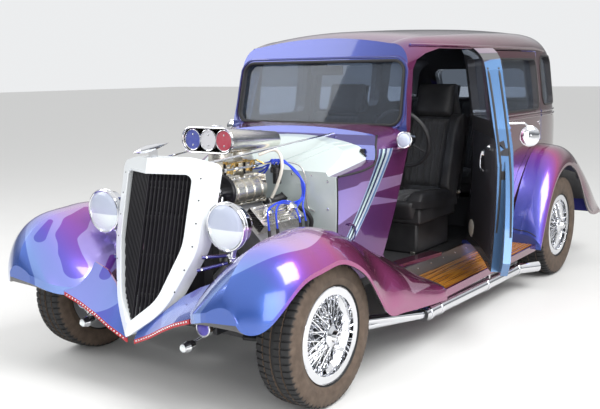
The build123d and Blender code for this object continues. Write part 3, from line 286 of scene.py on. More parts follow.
class Shader:
    """One node-based material and short names for the nodes that it uses."""

    def __init__(self, name, colour, roughness, metallic=0.0):
        self.material = bpy.data.materials.new(name)
        self.material.use_nodes = True
        self.tree = self.material.node_tree
        self.surface = self.tree.nodes["Principled BSDF"]
        self.coordinates = self.tree.nodes.new("ShaderNodeTexCoord")
        self.set("Base Color", (*colour, 1))
        self.set("Roughness", roughness)
        self.set("Metallic", metallic)

    def set(self, socket, value):
        """Gives the surface shader a value or a link."""
        self.feed(self.surface.inputs[socket], value)
        return self

    def feed(self, socket, value):
        """Links a node's output into a socket, or sets its value."""
        if isinstance(value, bpy.types.NodeSocket):
            self.tree.links.new(value, socket)
        else:
            socket.default_value = value

    def node(self, kind, inputs, **settings):
        """A new node with its settings, and its inputs fed by name or number."""
        node = self.tree.nodes.new("ShaderNode" + kind)
        for name, value in settings.items():
            setattr(node, name, value)
        for socket, value in inputs.items():
            self.feed(node.inputs[socket], value)
        return node

    def object_point(self):
        """Place on the object."""
        return self.coordinates.outputs["Object"]

    def normal(self):
        """Direction of the surface on the object."""
        return self.coordinates.outputs["Normal"]

    def parts(self, vector):
        """The three components of a vector."""
        return tuple(self.node("SeparateXYZ", {0: vector}).outputs)

    def joined(self, x, y, z):
        """A vector from three components."""
        return self.node("CombineXYZ", {0: x, 1: y, 2: z}).outputs[0]

    def vector(self, operation, first, second=(0, 0, 0), scale=1.0):
        """One vector step; dot products and lengths come back as numbers."""
        inputs = {0: first}
        if operation == "SCALE":
            inputs["Scale"] = scale
        elif operation != "LENGTH":
            inputs[1] = second
        node = self.node("VectorMath", inputs, operation=operation)
        return node.outputs["Value" if operation in ("DOT_PRODUCT", "LENGTH") else "Vector"]

    def maths(self, operation, first, second=0.0, third=0.0, clamp=False):
        """One arithmetic step."""
        inputs = {0: first, 1: second, 2: third}
        return self.node("Math", inputs, operation=operation, use_clamp=clamp).outputs[0]

    def times(self, first, second):
        """Product of two numbers."""
        return self.maths("MULTIPLY", first, second)

    def scaled(self, value, factor, offset):
        """A number times a factor, plus an offset."""
        return self.maths("MULTIPLY_ADD", value, factor, offset)

    def size(self, value):
        """Distance from zero."""
        return self.maths("ABSOLUTE", value)

    def most(self, first, second):
        """The larger of two numbers."""
        return self.maths("MAXIMUM", first, second)

    def inverted(self, share):
        """What is left of one."""
        return self.maths("SUBTRACT", 1.0, share)

    def turned(self, vector, angle, centre=(0, 0, 0)):
        """A vector turned about the upright axis."""
        inputs = {"Vector": vector, "Center": centre, "Angle": angle}
        return self.node("VectorRotate", inputs, rotation_type="Z_AXIS").outputs[0]

    def stretch(self, scale, vector=None):
        """Coordinates scaled along the three axes."""
        return self.node("Mapping", {"Vector": vector or self.object_point(), "Scale": scale}).outputs[0]

    def noise(self, scale, detail=2.0, vector=None):
        """Soft noise between 0 and 1."""
        inputs = {"Vector": vector or self.object_point(), "Scale": scale, "Detail": detail}
        return self.node("TexNoise", inputs).outputs["Fac"]

    def wave(self, scale, direction, distortion=0.0):
        """Parallel bands."""
        inputs = {"Vector": self.object_point(), "Scale": scale, "Distortion": distortion}
        return self.node("TexWave", inputs, bands_direction=direction).outputs["Fac"]

    def ramp(self, factor, stops, stepped=False):
        """Colours along a factor: stops are (position, colour)."""
        node = self.node("ValToRGB", {0: factor})
        node.color_ramp.interpolation = "CONSTANT" if stepped else "LINEAR"
        set_stops(node.color_ramp, stops)
        return node.outputs[0]

    def between(self, value, low, high):
        """0 below low, 1 above high, smooth between them."""
        inputs = {"Value": value, "From Min": low, "From Max": high}
        return self.node("MapRange", inputs, interpolation_type="SMOOTHSTEP").outputs["Result"]

    def band(self, value, low, full, high, fading):
        """1 between full and fading, 0 below low and above high."""
        return self.times(self.between(value, low, full), self.between(value, high, fading))

    def blend(self, factor, first, second):
        """Mix of two colours."""
        first, second = ((*value, 1) if isinstance(value, tuple) else value for value in (first, second))
        inputs = {"Factor": factor, "A": first, "B": second}
        return self.node("Mix", inputs, data_type="RGBA").outputs["Result"]

    def bump(self, height, distance):
        """Small relief from a height between 0 and 1; distance in metres."""
        node = self.node("Bump", {"Height": height, "Distance": distance, "Strength": 1.0})
        self.set("Normal", node.outputs[0])
        return self

    def outside(self, point, start, end, start_radius, end_radius):
        """Distance outside a tapered round stroke between two points, all in metres."""
        start = Vector(start) / 1000
        span = Vector(end) / 1000 - start
        from_start = self.vector("SUBTRACT", point, tuple(start))
        share = self.maths("MULTIPLY", self.vector("DOT_PRODUCT", from_start, tuple(span)),
                           1 / max(span.length_squared, 1e-6), clamp=True)
        offset = self.vector("SUBTRACT", from_start, self.vector("SCALE", tuple(span), scale=share))
        reach = self.scaled(share, (end_radius - start_radius) / 1000, start_radius / 1000)
        return self.maths("SUBTRACT", self.vector("LENGTH", offset), reach)

    def strokes(self, point, rows):
        """1 inside any of the tapered strokes, 0 outside, with crisp edges and soft joins."""
        nearest = None
        for start, end, start_radius, end_radius in rows:
            distance = self.outside(point, start, end, start_radius, end_radius)
            nearest = distance if nearest is None else self.maths("SMOOTH_MIN", nearest, distance, 0.02)
        return self.between(nearest, 0.0012, -0.0012)


def uneven(name, colour, roughness, metallic=0.0, grain=60, spread=0.1, relief=0.0):
    """Material whose tone and gloss vary a little over its surface."""
    shader = Shader(name, colour, roughness, metallic)
    cloud = shader.noise(grain, 4)
    darker = tuple(part * (1 - spread) for part in colour)
    lighter = tuple(min(part * (1 + spread), 1) for part in colour)
    shader.set("Base Color", shader.blend(cloud, darker, lighter))
    shader.set("Roughness", shader.scaled(cloud, roughness * 0.6, roughness * 0.7))
    if relief:
        shader.bump(cloud, relief)
    return shader


# Strokes are start, end and their two radii, in car millimetres on the left side
fender_light = [((455, -1590, 0), (455, -1590, 0), 356, 356)]
fender_drops = [
    ((600, -1540, 760), (556, -1660, 716), 34, 60),
    ((556, -1660, 716), (530, -1740, 672), 60, 50),
    ((530, -1740, 672), (468, -1775, 600), 46, 50),
    ((468, -1775, 600), (410, -1790, 540), 50, 60),
    ((628, -1755, 732), (600, -1840, 674), 14, 30),
    ((350, -1610, 560), (292, -1712, 500), 18, 30),
]
fender_tail = [
    ((790, -832, 492), (862, -790, 402), 5, 28),
    ((862, -782, 394), (848, -585, 362), 28, 8),
]
cowl_flames = [
    ((0, -880, 766), (0, -700, 822), 86, 54),
    ((0, -710, 850), (0, -420, 874), 36, 26),
    ((0, -420, 874), (0, -210, 850), 26, 2),
    ((0, -730, 790), (0, -470, 762), 30, 6),
]

fender_tones = [
    (0.00, (0.085, 0.020, 0.016)),
    (0.20, (0.130, 0.014, 0.050)),
    (0.36, (0.300, 0.018, 0.150)),
    (0.52, (0.210, 0.030, 0.400)),
    (0.70, (0.080, 0.050, 0.480)),
    (0.92, (0.020, 0.090, 0.420)),
]
body_tones = [
    (0.00, (0.060, 0.009, 0.004)),
    (0.20, (0.090, 0.006, 0.020)),
    (0.36, (0.170, 0.008, 0.080)),
    (0.52, (0.080, 0.010, 0.140)),
    (0.68, (0.034, 0.016, 0.170)),
    (0.90, (0.014, 0.034, 0.230)),
]
light_colours = [
    (0.00, (0.42, 0.25, 0.24)),
    (0.24, (0.50, 0.28, 0.36)),
    (0.40, (0.48, 0.28, 0.48)),
    (0.55, (0.34, 0.26, 0.68)),
    (0.72, (0.20, 0.22, 0.66)),
    (0.90, (0.15, 0.26, 0.62)),
]
lining = (0.014, 0.014, 0.016)
sill_grey = (0.050, 0.052, 0.060)
edge_blue = (0.075, 0.20, 0.42)

paint_gloss = 0.24
paint_metal = 0.6
stripe_lean, stripe_foot = 0.523, -1.1299
stripe_taper, stripe_width = 0.0725, 0.0183
stripe_colours = [
    (0.00, (0.30, 0.42, 0.62)), (0.10, (0.012, 0.03, 0.12)), (0.26, (0.62, 0.80, 0.78)),
    (0.42, (0.012, 0.03, 0.12)), (0.58, (0.70, 0.80, 0.90)), (0.76, (0.10, 0.22, 0.50)),
    (0.90, (0.45, 0.55, 0.75)),
]


def flamed(shader, colour, pale, flames, point, facing):
    """Lighter flames over a flank, with a band of stripes beside the door."""
    _, y, z = point
    side = shader.between(shader.size(facing), 0.35, 0.45)
    area = shader.times(shader.strokes(shader.joined(0.0, y, z), flames), side)
    colour = shader.blend(shader.times(area, 0.72), colour, pale)
    front_edge = shader.scaled(z, stripe_lean, stripe_foot)
    width = shader.scaled(z, stripe_taper, stripe_width)
    across = shader.maths("DIVIDE", shader.maths("SUBTRACT", y, front_edge), width)
    stripe = shader.ramp(across, stripe_colours, stepped=True)
    inner = shader.band(across, 0.0, 0.01, 1.0, 0.99)
    ends = shader.band(z, 0.40, 0.41, 1.045, 1.040)
    return shader.blend(shader.times(shader.times(inner, ends), side), colour, stripe)


def lined(shader, colour, dark, tone):
    """A dull lining instead of the paint where dark is 1."""
    shader.set("Metallic", shader.scaled(dark, -paint_metal, paint_metal))
    shader.set("Roughness", shader.scaled(dark, 0.5, paint_gloss))
    return shader.blend(dark, colour, tone)


def paint(name, tones, light=None, drops=None, tail=None, flames=None, inside=None, angle=0.0):
    """Colour-shift paint: blue ahead over violet and magenta to bronze behind, with lighter flames."""
    shader = Shader(name, (0.3, 0.1, 0.4), paint_gloss, paint_metal)
    point = shader.vector("SUBTRACT", shader.object_point(), (car_x, car_y, 0))
    normal = shader.normal()
    if angle:
        point = shader.turned(point, -angle, tuple(door_hinge / 1000))
        normal = shader.turned(normal, -angle)
    x, y, z = shader.parts(point)
    reach = shader.size(x)
    normal_x, normal_y, normal_z = shader.parts(normal)
    outward = shader.times(normal_x, shader.maths("SIGN", x))
    mirrored = shader.joined(reach, y, z)
    ahead = shader.most(shader.times(normal_y, -1), shader.times(normal_y, -0.35))
    tone = shader.scaled(y, -0.085, shader.scaled(ahead, 0.72, 0.24))
    tone = shader.scaled(shader.noise(1.6, 2), 0.10, shader.maths("SUBTRACT", tone, 0.05))
    colour = shader.ramp(tone, tones)
    pale = shader.ramp(tone, light_colours)
    if light:
        area = shader.strokes(shader.joined(reach, y, 0.0), light)
        area = shader.times(area, shader.inverted(shader.strokes(mirrored, drops)))
        area = shader.most(area, shader.strokes(mirrored, tail))
        colour = shader.blend(area, colour, pale)
    if flames:
        colour = flamed(shader, colour, pale, flames, (x, y, z), normal_x)
    if inside in ("cab", "door"):
        facing_in = shader.between(outward, -0.35, -0.45)
        ceiling = shader.between(normal_z, -0.35, -0.45)
        across = shader.between(shader.size(normal_x), 0.6, 0.5)
        long_way = shader.band(y, -0.215, -0.210, 1.862, 1.858)
        window = shader.band(z, 1.160, 1.165, 1.530, 1.525)
        reveal = shader.times(shader.times(across, long_way), window)
        dark = shader.most(shader.most(facing_in, ceiling), reveal)
        if inside == "door":
            edge = shader.times(shader.between(normal_y, -0.25, -0.35), shader.between(y, -0.205, -0.215))
            colour = shader.blend(edge, colour, edge_blue)
            dark = shader.times(dark, shader.inverted(edge))
        colour = lined(shader, colour, dark, lining)
    if inside == "fender":
        below = shader.between(normal_z, -0.12, -0.2)
        flank = shader.times(shader.between(outward, -0.4, -0.5), shader.between(reach, 0.80, 0.81))
        colour = lined(shader, colour, shader.most(below, flank), lining)
    if inside == "board":
        splash = shader.between(reach, 0.630, 0.622)
        top = shader.times(shader.between(normal_z, 0.5, 0.6), shader.between(reach, 0.853, 0.852))
        colour = lined(shader, colour, shader.most(splash, top), sill_grey)
    flake = shader.noise(900, 1)
    shader.set("Base Color", shader.blend(shader.times(flake, 0.06), colour, (0.9, 0.85, 0.95)))
    shader.set("Coat Weight", 1.0)
    shader.set("Coat Roughness", 0.03)
    return shader


def varnished_wood():
    """Amber boards with long grain, darker knots and a glossy varnish."""
    shader = Shader("board_wood", (0.5, 0.22, 0.04), 0.25)
    long_way = shader.stretch((60, 1.6, 60))
    grain = shader.noise(1.4, 6, long_way)
    tone = shader.ramp(grain, [(0.28, (0.16, 0.05, 0.008)), (0.45, (0.42, 0.16, 0.022)),
                               (0.58, (0.62, 0.27, 0.04)), (0.75, (0.34, 0.12, 0.016))])
    shader.set("Base Color", tone)
    shader.set("Coat Weight", 0.7)
    shader.set("Coat Roughness", 0.08)
    return shader.bump(grain, 0.0006)


def ribbed_fabric():
    """Black seat cloth with a fine weave and a little sheen."""
    shader = Shader("seat_trim", (0.022, 0.022, 0.024), 0.75)
    threads = shader.times(shader.wave(420, "X", 0.4), shader.wave(420, "Z", 0.4))
    cloud = shader.noise(14, 4)
    weave = shader.scaled(threads, 0.5, shader.times(cloud, 0.5))
    shader.set("Base Color", shader.ramp(weave, [(0.2, (0.012, 0.012, 0.014)), (0.7, (0.045, 0.045, 0.05))]))
    shader.set("Sheen Weight", 0.25)
    return shader.bump(threads, 0.0005)


def seat_leather():
    """Black soft leather with a pebbled grain."""
    shader = Shader("seat_leather", (0.02, 0.02, 0.022), 0.48)
    grain = shader.noise(380, 3)
    cloud = shader.noise(9, 3)
    tone = shader.ramp(cloud, [(0.3, (0.014, 0.014, 0.016)), (0.7, (0.034, 0.033, 0.035))])
    shader.set("Base Color", tone)
    shader.set("Roughness", shader.scaled(grain, 0.25, 0.36))
    return shader.bump(grain, 0.0008)


def tyre_rubber():
    """Black tread that turns brownish and dusty down the sidewall."""
    shader = Shader("tyre_rubber", (0.02, 0.02, 0.021), 0.8)
    normal_x, _, _ = shader.parts(shader.normal())
    sidewall = shader.between(shader.size(normal_x), 0.55, 0.95)
    dust = shader.noise(24, 5)
    brown = shader.ramp(dust, [(0.3, (0.060, 0.040, 0.028)), (0.7, (0.115, 0.082, 0.060))])
    shader.set("Base Color", shader.blend(sidewall, (0.016, 0.016, 0.017), brown))
    shader.set("Roughness", shader.scaled(dust, 0.2, 0.65))
    return shader.bump(shader.noise(160, 3), 0.0008)


def brushed(name, colour, roughness, direction):
    """Bright metal with fine lines along one direction."""
    shader = Shader(name, colour, roughness, 1.0)
    lines = shader.noise(1.0, 3, shader.stretch(direction))
    cloud = shader.noise(7, 3)
    darker = tuple(part * 0.78 for part in colour)
    shader.set("Base Color", shader.blend(cloud, darker, colour))
    shader.set("Roughness", shader.scaled(lines, roughness, roughness * 0.5))
    return shader.bump(lines, 0.0003)


def flap_enamel():
    """Enamel of the three flaps, red to the car's left, white in the middle and blue to its right."""
    shader = Shader("flap_enamel", (0.8, 0.8, 0.8), 0.3)
    x, _, _ = shader.parts(shader.vector("SUBTRACT", shader.object_point(), (car_x, car_y, 0)))
    place_x = shader.scaled(x, 2.5, 0.5)
    tone = shader.ramp(place_x, [(0.0, (0.03, 0.06, 0.42)), (0.374, (0.75, 0.75, 0.78)),
                                 (0.626, (0.50, 0.02, 0.06))], stepped=True)
    cloud = shader.noise(40, 3)
    shader.set("Base Color", shader.blend(shader.times(cloud, 0.2), tone, (0.5, 0.5, 0.5)))
    shader.set("Coat Weight", 0.6)
    return shader


def lamp_glass():
    """Headlamp glass with fine flutes, a painted sky reflection above and painted bright glare below."""
    shader = Shader("lens_glass", (0.9, 0.94, 0.97), 0.05)
    _, _, z = shader.parts(shader.object_point())
    # Painted reflection: the lower half is painted near white as glare, the upper half bluish grey as the
    # sky's reflection, streaked by the flutes.
    lower = shader.between(z, 0.778, 0.772)
    flutes = shader.wave(55, "X")
    painted_sky_reflection = shader.ramp(flutes, [(0.2, (0.42, 0.47, 0.62)), (0.8, (0.58, 0.63, 0.74))])
    shader.set("Base Color", shader.blend(lower, painted_sky_reflection, (0.88, 0.95, 0.95)))
    shader.set("Coat Weight", 1.0)
    return shader.bump(flutes, 0.0012)


def window_glass():
    """Slightly smoky window glass."""
    shader = Shader("window_glass", (0.46, 0.53, 0.64), 0.02)
    shader.set("Transmission Weight", 0.96)
    shader.set("IOR", 1.12)
    shader.set("Coat Weight", 0.5)
    haze = shader.noise(5, 3)
    shader.set("Roughness", shader.scaled(haze, 0.03, 0.0))
    return shader


def firewall_paint():
    """Pale grey paint, with painted shade making the upright face below the fold darker than the lit top."""
    shader = Shader("firewall_grey", (0.5, 0.56, 0.55), 0.3)
    _, _, normal_z = shader.parts(shader.normal())
    # Painted shade: faces turned up keep the lit pale grey, and the upright face gets a darker grey with
    # random mottling.
    lit_top_mask = shader.between(normal_z, 0.2, 0.6)
    cloud = shader.noise(6, 4)
    upright = shader.ramp(cloud, [(0.3, (0.44, 0.51, 0.50)), (0.7, (0.52, 0.59, 0.58))])
    shader.set("Base Color", shader.blend(lit_top_mask, upright, (0.50, 0.57, 0.56)))
    shader.set("Coat Weight", 0.6)
    return shader


# Name, colour, roughness, metallic, grain, spread of tone, relief in metres
plain_finishes = (
    ("chassis_black", (0.015, 0.015, 0.018), 0.4, 0.0, 40, 0.3, 0.0006),
    ("engine_grey", (0.30, 0.30, 0.31), 0.42, 0.7, 30, 0.3, 0.001),
    ("engine_black", (0.014, 0.014, 0.016), 0.3, 0.2, 40, 0.3, 0.0005),
    ("chrome", (0.80, 0.81, 0.84), 0.05, 1.0, 12, 0.05),
    ("shell_white", (0.74, 0.77, 0.78), 0.2, 0.0, 8, 0.03),
    ("bar_black", (0.012, 0.011, 0.014), 0.42, 0.0, 50, 0.3),
    ("carpet", (0.028, 0.028, 0.031), 0.95, 0.0, 500, 0.5, 0.002),
    ("panel", (0.024, 0.024, 0.030), 0.6, 0.0, 220, 0.3, 0.0008),
    ("blue_lens", (0.10, 0.08, 0.42), 0.08, 0.3, 60, 0.3),
    ("red_lens", (0.42, 0.01, 0.01), 0.1, 0.1, 60, 0.3),
    ("strip_red", (0.45, 0.02, 0.03), 0.35, 0.0, 60, 0.2),
    ("rubber", (0.012, 0.012, 0.013), 0.55, 0.0, 120, 0.3, 0.0005),
    ("lead_blue", (0.02, 0.06, 0.62), 0.35, 0.0, 60, 0.2),
    ("tube_white", (0.78, 0.74, 0.66), 0.3, 0.0, 60, 0.06),
    ("hose_black", (0.02, 0.02, 0.022), 0.5, 0.0, 300, 0.4, 0.0006),
    ("knob_red", (0.6, 0.06, 0.02), 0.3, 0.0, 60, 0.1),
    ("dial", (0.7, 0.7, 0.66), 0.4, 0.0, 60, 0.1),
)

# Name, colour, roughness, stretch of the fine lines
brushed_finishes = (
    ("polished", (0.90, 0.87, 0.80), 0.24, (8, 300, 300)),
    ("satin", (0.80, 0.77, 0.70), 0.32, (300, 12, 300)),
    ("brass", (0.80, 0.56, 0.20), 0.24, (90, 90, 90)),
)


def make_materials():
    """Every material by name."""
    doors = {"flames": cowl_flames, "inside": "door"}
    shaders = {row[0]: uneven(*row) for row in plain_finishes}
    shaders.update({row[0]: brushed(*row) for row in brushed_finishes})
    shaders.update({
        "flap": flap_enamel(),
        "firewall": firewall_paint(),
        "cowl_paint": paint("cowl_paint", body_tones, flames=cowl_flames, inside="cab"),
        "body_paint": paint("body_paint", body_tones, inside="cab"),
        "door_paint": paint("door_paint", body_tones, **doors),
        "open_door_paint": paint("open_door_paint", body_tones, angle=door_angle, **doors),
        "fender_paint": paint("fender_paint", fender_tones, fender_light, fender_drops, fender_tail,
                              inside="fender"),
        "plain_paint": paint("plain_paint", fender_tones, inside="fender"),
        "board_paint": paint("board_paint", fender_tones, inside="board"),
        "trim_paint": paint("trim_paint", body_tones),
        "open_trim_paint": paint("open_trim_paint", body_tones, angle=door_angle),
        "wood": varnished_wood(),
        "glass": window_glass(),
        "lens": lamp_glass(),
        "seat_cloth": ribbed_fabric(),
        "seat": seat_leather(),
        "tyre": tyre_rubber(),
    })
    return {name: shader.material for name, shader in shaders.items()}


materials = make_materials()

corners = [end + "_" + side for end in ("front", "rear") for side in ("left", "right")]
node_finishes = {
    "chassis_black": ["chassis_frame", "front_suspension", "rear_axle", "fuel_tank", "knuckle_left",
                      "knuckle_right"],
    "engine_grey": ["engine_block"],
    "polished": ["valve_covers", "blower", "scoop"],
    "satin": ["carburettors"],
    "flap": ["scoop_flaps"],
    "chrome": ["exhaust_pipes", "ornament", "stay_rods", "headlamps", "small_lamps", "mirror_left",
               "mirror_right"] + ["wheel_" + corner for corner in corners],
    "bar_black": ["radiator", "grille_bars"],
    "shell_white": ["grille_shell"],
    "firewall": ["firewall"],
    "cowl_paint": ["cowl"],
    "body_paint": ["roof", "rear_body", "door_posts", "door_rear_left", "door_rear_right"],
    "open_door_paint": ["door_front_left"],
    "door_paint": ["door_front_right"],
    "fender_paint": ["front_fenders", "front_apron"],
    "plain_paint": ["rear_fenders"],
    "board_paint": ["running_boards"],
    "wood": ["board_slats"],
    "strip_red": ["apron_strip"],
    "lens": ["lamp_lenses"],
    "carpet": ["floor_pan"],
    "panel": ["dashboard"],
    "seat": ["front_seats", "rear_seat", "steering_wheel"],
    "glass": ["cab_glass"] + ["glass_" + corner for corner in corners],
    "tyre": ["tyre_" + corner for corner in corners],
}
for finish, nodes in node_finishes.items():
    for node in nodes:
        mesh = frame["nodes"][node].data
        mesh.materials.clear()
        mesh.materials.append(materials[finish])


# Tyres and wheels

treads = 62
tread_depth = 6.5
tread_slant = 0.45
spoke_count = 18
spoke_lean = 27
nipple_length = 12


def tyre_profile(radius, width, rim_width):
    """Half of a tyre's section from bead to crown: distance across, radius, share of the groove's depth."""
    half = width / 2
    foot = rim_width / 2 - 13
    wall = curve_through([(foot, 0, 196), (foot + 2, 0, 217), (half * 0.88, 0, 223), (half * 0.985, 0, 246),
                          (half, 0, radius - 66), (half * 0.975, 0, radius - 40),
                          (half * 0.925, 0, radius - 22)], 4)
    rows = [(point.x, point.z, 0.0) for point in wall]
    rows.insert(9, (half * 0.90, 222, 0.0))
    crown = ((0.90, 15, 0.7), (0.86, 8.5, 1.0), (0.80, 5, 1.0), (0.62, 2, 1.0), (0.50, 1, 1.0),
             (0.49, 8, 0.0), (0.42, 8, 0.0), (0.41, 0.5, 0.6), (0.10, 0, 0.6), (0.09, 8, 0.0))
    return rows + [(half * share, radius - sunk, cut) for share, sunk, cut in crown]


def make_tyre(end, side, radius, width, rim_width, x, y):
    """Tyre with ribs round its crown and blocks along its shoulders."""
    sign = 1 if side == "left" else -1
    half_rows = tyre_profile(radius, width, rim_width)
    rows = [(-along, reach, cut) for along, reach, cut in half_rows] + list(reversed(half_rows))
    pitch = 2 * math.pi / treads
    rings = []
    for tread in range(treads):
        for share, lowered in ((0.0, 0), (0.07, 1), (0.26, 1), (0.33, 0)):
            ring = []
            for along, reach, cut in rows:
                slant = tread_slant * pitch * abs(along) / width
                angle = pitch * (tread + share) + slant
                depth = tread_depth * cut * lowered
                ring.append((x * sign + along, y + math.sin(angle) * (reach - depth),
                             radius + math.cos(angle) * (reach - depth)))
            rings.append(ring)
    form = Form()
    form.rings(rings, closed_ring=False, loop=True)
    name = "tyre_" + end + "_" + side
    made = form.piece("treaded_" + name, "tyre", end + "_" + side + "_wheel", sharp=50)
    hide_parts(name)


def dress_wheel(end, side, radius, rim_width, x, y):
    """Closer spokes with their nipples, the rim's bead and the ribs of the hub cap."""
    sign = 1 if side == "left" else -1
    half = rim_width / 2
    spokes = Form()
    for hub_x, hub_radius, rim_x, rim_radius, turn, start in (
            (half - 8, 38, half - 52, 165, 1, 10), (-half + 26, 50, -half + 56, 165, -1, 10),
            (half - 14, 37, half - 70, 164, -1, 5)):
        for index in range(spoke_count):
            angle = math.radians(start + index * 360 / spoke_count)
            lean = math.radians(turn * (spoke_lean if index % 2 else -spoke_lean))
            root = Vector((hub_x, math.sin(angle) * hub_radius, math.cos(angle) * hub_radius))
            tip = Vector((rim_x, math.sin(angle + lean) * rim_radius, math.cos(angle + lean) * rim_radius))
            nipple = tip + (root - tip).normalized() * nipple_length
            spokes.tube([root, nipple], 2.1, 6)
            spokes.tube([nipple, tip], 3.4, 6)
    body = end + "_" + side + "_wheel"

    def seated(point):
        """A point about the hub, where the wheel stands."""
        return Vector((sign * (x + point[0]), y + point[1], radius + point[2]))

    spokes.piece("spokes_" + end + "_" + side, "chrome", body, seated)
    rings = Form()
    for along, reach, thick in ((half - 2, 211, 3.2), (half - 27, 181, 2.4), (half + 6, 47, 3.0)):
        angles = [math.radians(angle) for angle in range(0, 360, 5)]
        circle = [(along, math.sin(angle) * reach, math.cos(angle) * reach) for angle in angles]
        rings.tube(circle, thick, 8, closed=True)
    for index in range(6):
        angle = math.radians(index * 60)
        rings.tube([(half + 26, math.sin(angle) * 26, math.cos(angle) * 26),
                    (half + 39, math.sin(angle) * 21, math.cos(angle) * 21)], 3.2, 6)
    cap = [(half + 38, 18), (half + 43, 17), (half + 45, 12), (half + 46, 0.5)]
    rings.spun(cap, (0, 0, 0), (1, 0, 0), 24)
    rings.piece("hub_cap_" + end + "_" + side, "chrome", body, seated)


wheel_sizes = (("front", 320, 195, 165, 725, front_axle_y), ("rear", 350, 235, 200, 745, rear_axle_y))
for end, radius, width, rim_width, x, y in wheel_sizes:
    for side in ("left", "right"):
        make_tyre(end, side, radius, width, rim_width, x, y)
        dress_wheel(end, side, radius, rim_width, x, y)


# Front end

headlamp_x = 391
headlamp_z = 785


def headlamp_parts():
    """Domed headlamp lenses, their bezels and clamp screws."""
    for side, sign in (("left", 1), ("right", -1)):
        lens = Form()
        dome = [(8, 97.5), (12, 92), (18, 76), (22, 54), (24.5, 28), (25, 0.5)]
        x = headlamp_x * sign
        lens.spun(dome, (x, -1610, headlamp_z), (0, -1, 0), 48)
        made = lens.piece("headlamp_lens_" + side, "lens", sharp=60)
        if side == "left":
            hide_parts("lamp_lenses")
        ring = Form()
        ring.hoop((x, -1616, headlamp_z), 103, 6.5)
        ring.hoop((x, -1594, headlamp_z), 106, 2.6)
        ring.tube([(x, -1612, 676), (x, -1600, 674)], 5, 8)
        ring.spun([(0, 20), (6, 20), (12, 14)], (364 * sign, -1547, 640), (-0.4 * sign, 0.05, -0.9), 16)
        ring.piece("headlamp_bezel_" + side, "chrome")


def small_lamp_parts():
    """Lenses and rims of the cowl lamps, low lamps, signals and tail lamps."""
    rims = Form()
    blue = Form()
    clear = Form()
    red = Form()
    for sign in (1, -1):
        clear.spun([(0, 37), (5, 33), (10, 22), (12.5, 0.5)], (652 * sign, -500, 1087), (0, -1, 0), 24)
        rims.hoop((652 * sign, -500, 1087), 40, 3.4)
        blue.spun([(0, 33), (5, 29), (9, 18), (11, 0.5)], (391 * sign, -1780, 375), (0, -1, 0), 24)
        rims.hoop((391 * sign, -1779, 375), 36, 3.4)
        clear.spun([(0, 15), (7, 12), (12, 5), (13, 0.5)], (325 * sign, -1838, 290), (0, -1, 0), 16)
        rims.hoop((325 * sign, -1836, 290), 17, 2.2)
        red.spun([(0, 36), (6, 31), (10, 18), (12, 0.5)], (600 * sign, 2226, 640), (0, 1, 0), 24)
        rims.hoop((600 * sign, 2226, 640), 39, 3.2)
    rims.piece("small_lamp_rims", "chrome")
    clear.piece("small_clear_lenses", "lens")
    blue.piece("low_lamp_lenses", "blue_lens")
    red.piece("tail_lamp_lenses", "red_lens")


def shell_parts():
    """Dark screws down the shell's edges and a fine bead round its opening."""
    screws = Form()
    for sign in (1, -1):
        for x, z in ((186, 492), (216, 588), (238, 690), (242, 790), (242, 890), (240, 985)):
            spot, normal = surface("grille_shell", (x * sign, from_front, z), (0, 1, 0))
            screws.spun([(-1, 4), (1.2, 3.6), (2, 2)], spot, normal, 12)
    screws.piece("shell_screws", "bar_black")
    bead = Form()
    half = [(6, 346), (60, 396), (118, 458), (160, 570), (194, 684), (201, 800), (204, 960), (196, 996),
            (150, 1007), (70, 1008), (0, 1008)]
    outline = curve_through([(x, 0, z) for x, z in half], 5)
    left, right = ([((point.x + 4) * sign, from_front, point.z + 2) for point in outline]
                   for sign in (1, -1))
    left, right = (traced("grille_shell", starts, (0, 1, 0)) for starts in (left, right))
    bead.tube(left + right[::-1], 2.6, 6)
    bead.piece("shell_bead", "shell_white")


def apron_studs():
    """Silver studs along the strip under the apron."""
    stations = [(24, -1838, 272), (130, -1846, 318), (215, -1852, 364), (300, -1860, 404), (400, -1872, 440)]
    line = curve_through([Vector(station) for station in stations], 6)
    studs = Form()
    for sign in (1, -1):
        for point in line[1:-1]:
            studs.spun([(0, 4.2), (2.4, 3.57), (4, 1.47)], (point.x * sign, point.y - 0.5, point.z - 9),
                       (0.1 * sign, -1, -0.1), 10)
    studs.piece("apron_studs", "chrome")


def braces():
    """Painted braces from the shell to the fenders, and the radiator's hoses."""
    bars = Form()
    ends = Form()
    for sign in (1, -1):
        for low, high in (((262, -1668, 585), (348, -1560, 610)), ((268, -1640, 640), (352, -1530, 640))):
            start = Vector((low[0] * sign, low[1], low[2]))
            stop = Vector((high[0] * sign, high[1], high[2]))
            bars.tube([start, stop], 8, 10)
            for share in (0.16, 0.84):
                ends.bolt(start + (stop - start) * share, (sign, -1, 0.2), 5, 9)
    bars.piece("shell_braces", "trim_paint")
    ends.piece("brace_bolts", "chrome")
    upper_hose = [(-95, -1486, 930), (-95, -1440, 925), (-88, -1390, 860), (-84, -1300, 740)]
    lower_hose = [(130, -1486, 470), (135, -1420, 465), (125, -1340, 500), (110, -1300, 540)]
    hoses = Form()
    hoses.tube(curve_through(upper_hose, 6), 21, 14)
    hoses.tube(curve_through(lower_hose, 6), 23, 14)
    hoses.piece("radiator_hoses", "hose_black")
    clamps = Form()
    for spot, direction in (((-95, -1474, 930), (0, 1, -0.05)), ((130, -1474, 470), (0, 1, 0))):
        clamps.spun([(-6, 25), (6, 25)], spot, direction, 20)
    clamps.piece("hose_clamps", "chrome")


coil_turns = 6
coil_steps = 16
coil_start = 0.08
coil_radius = 30
coil_wire = 5.5


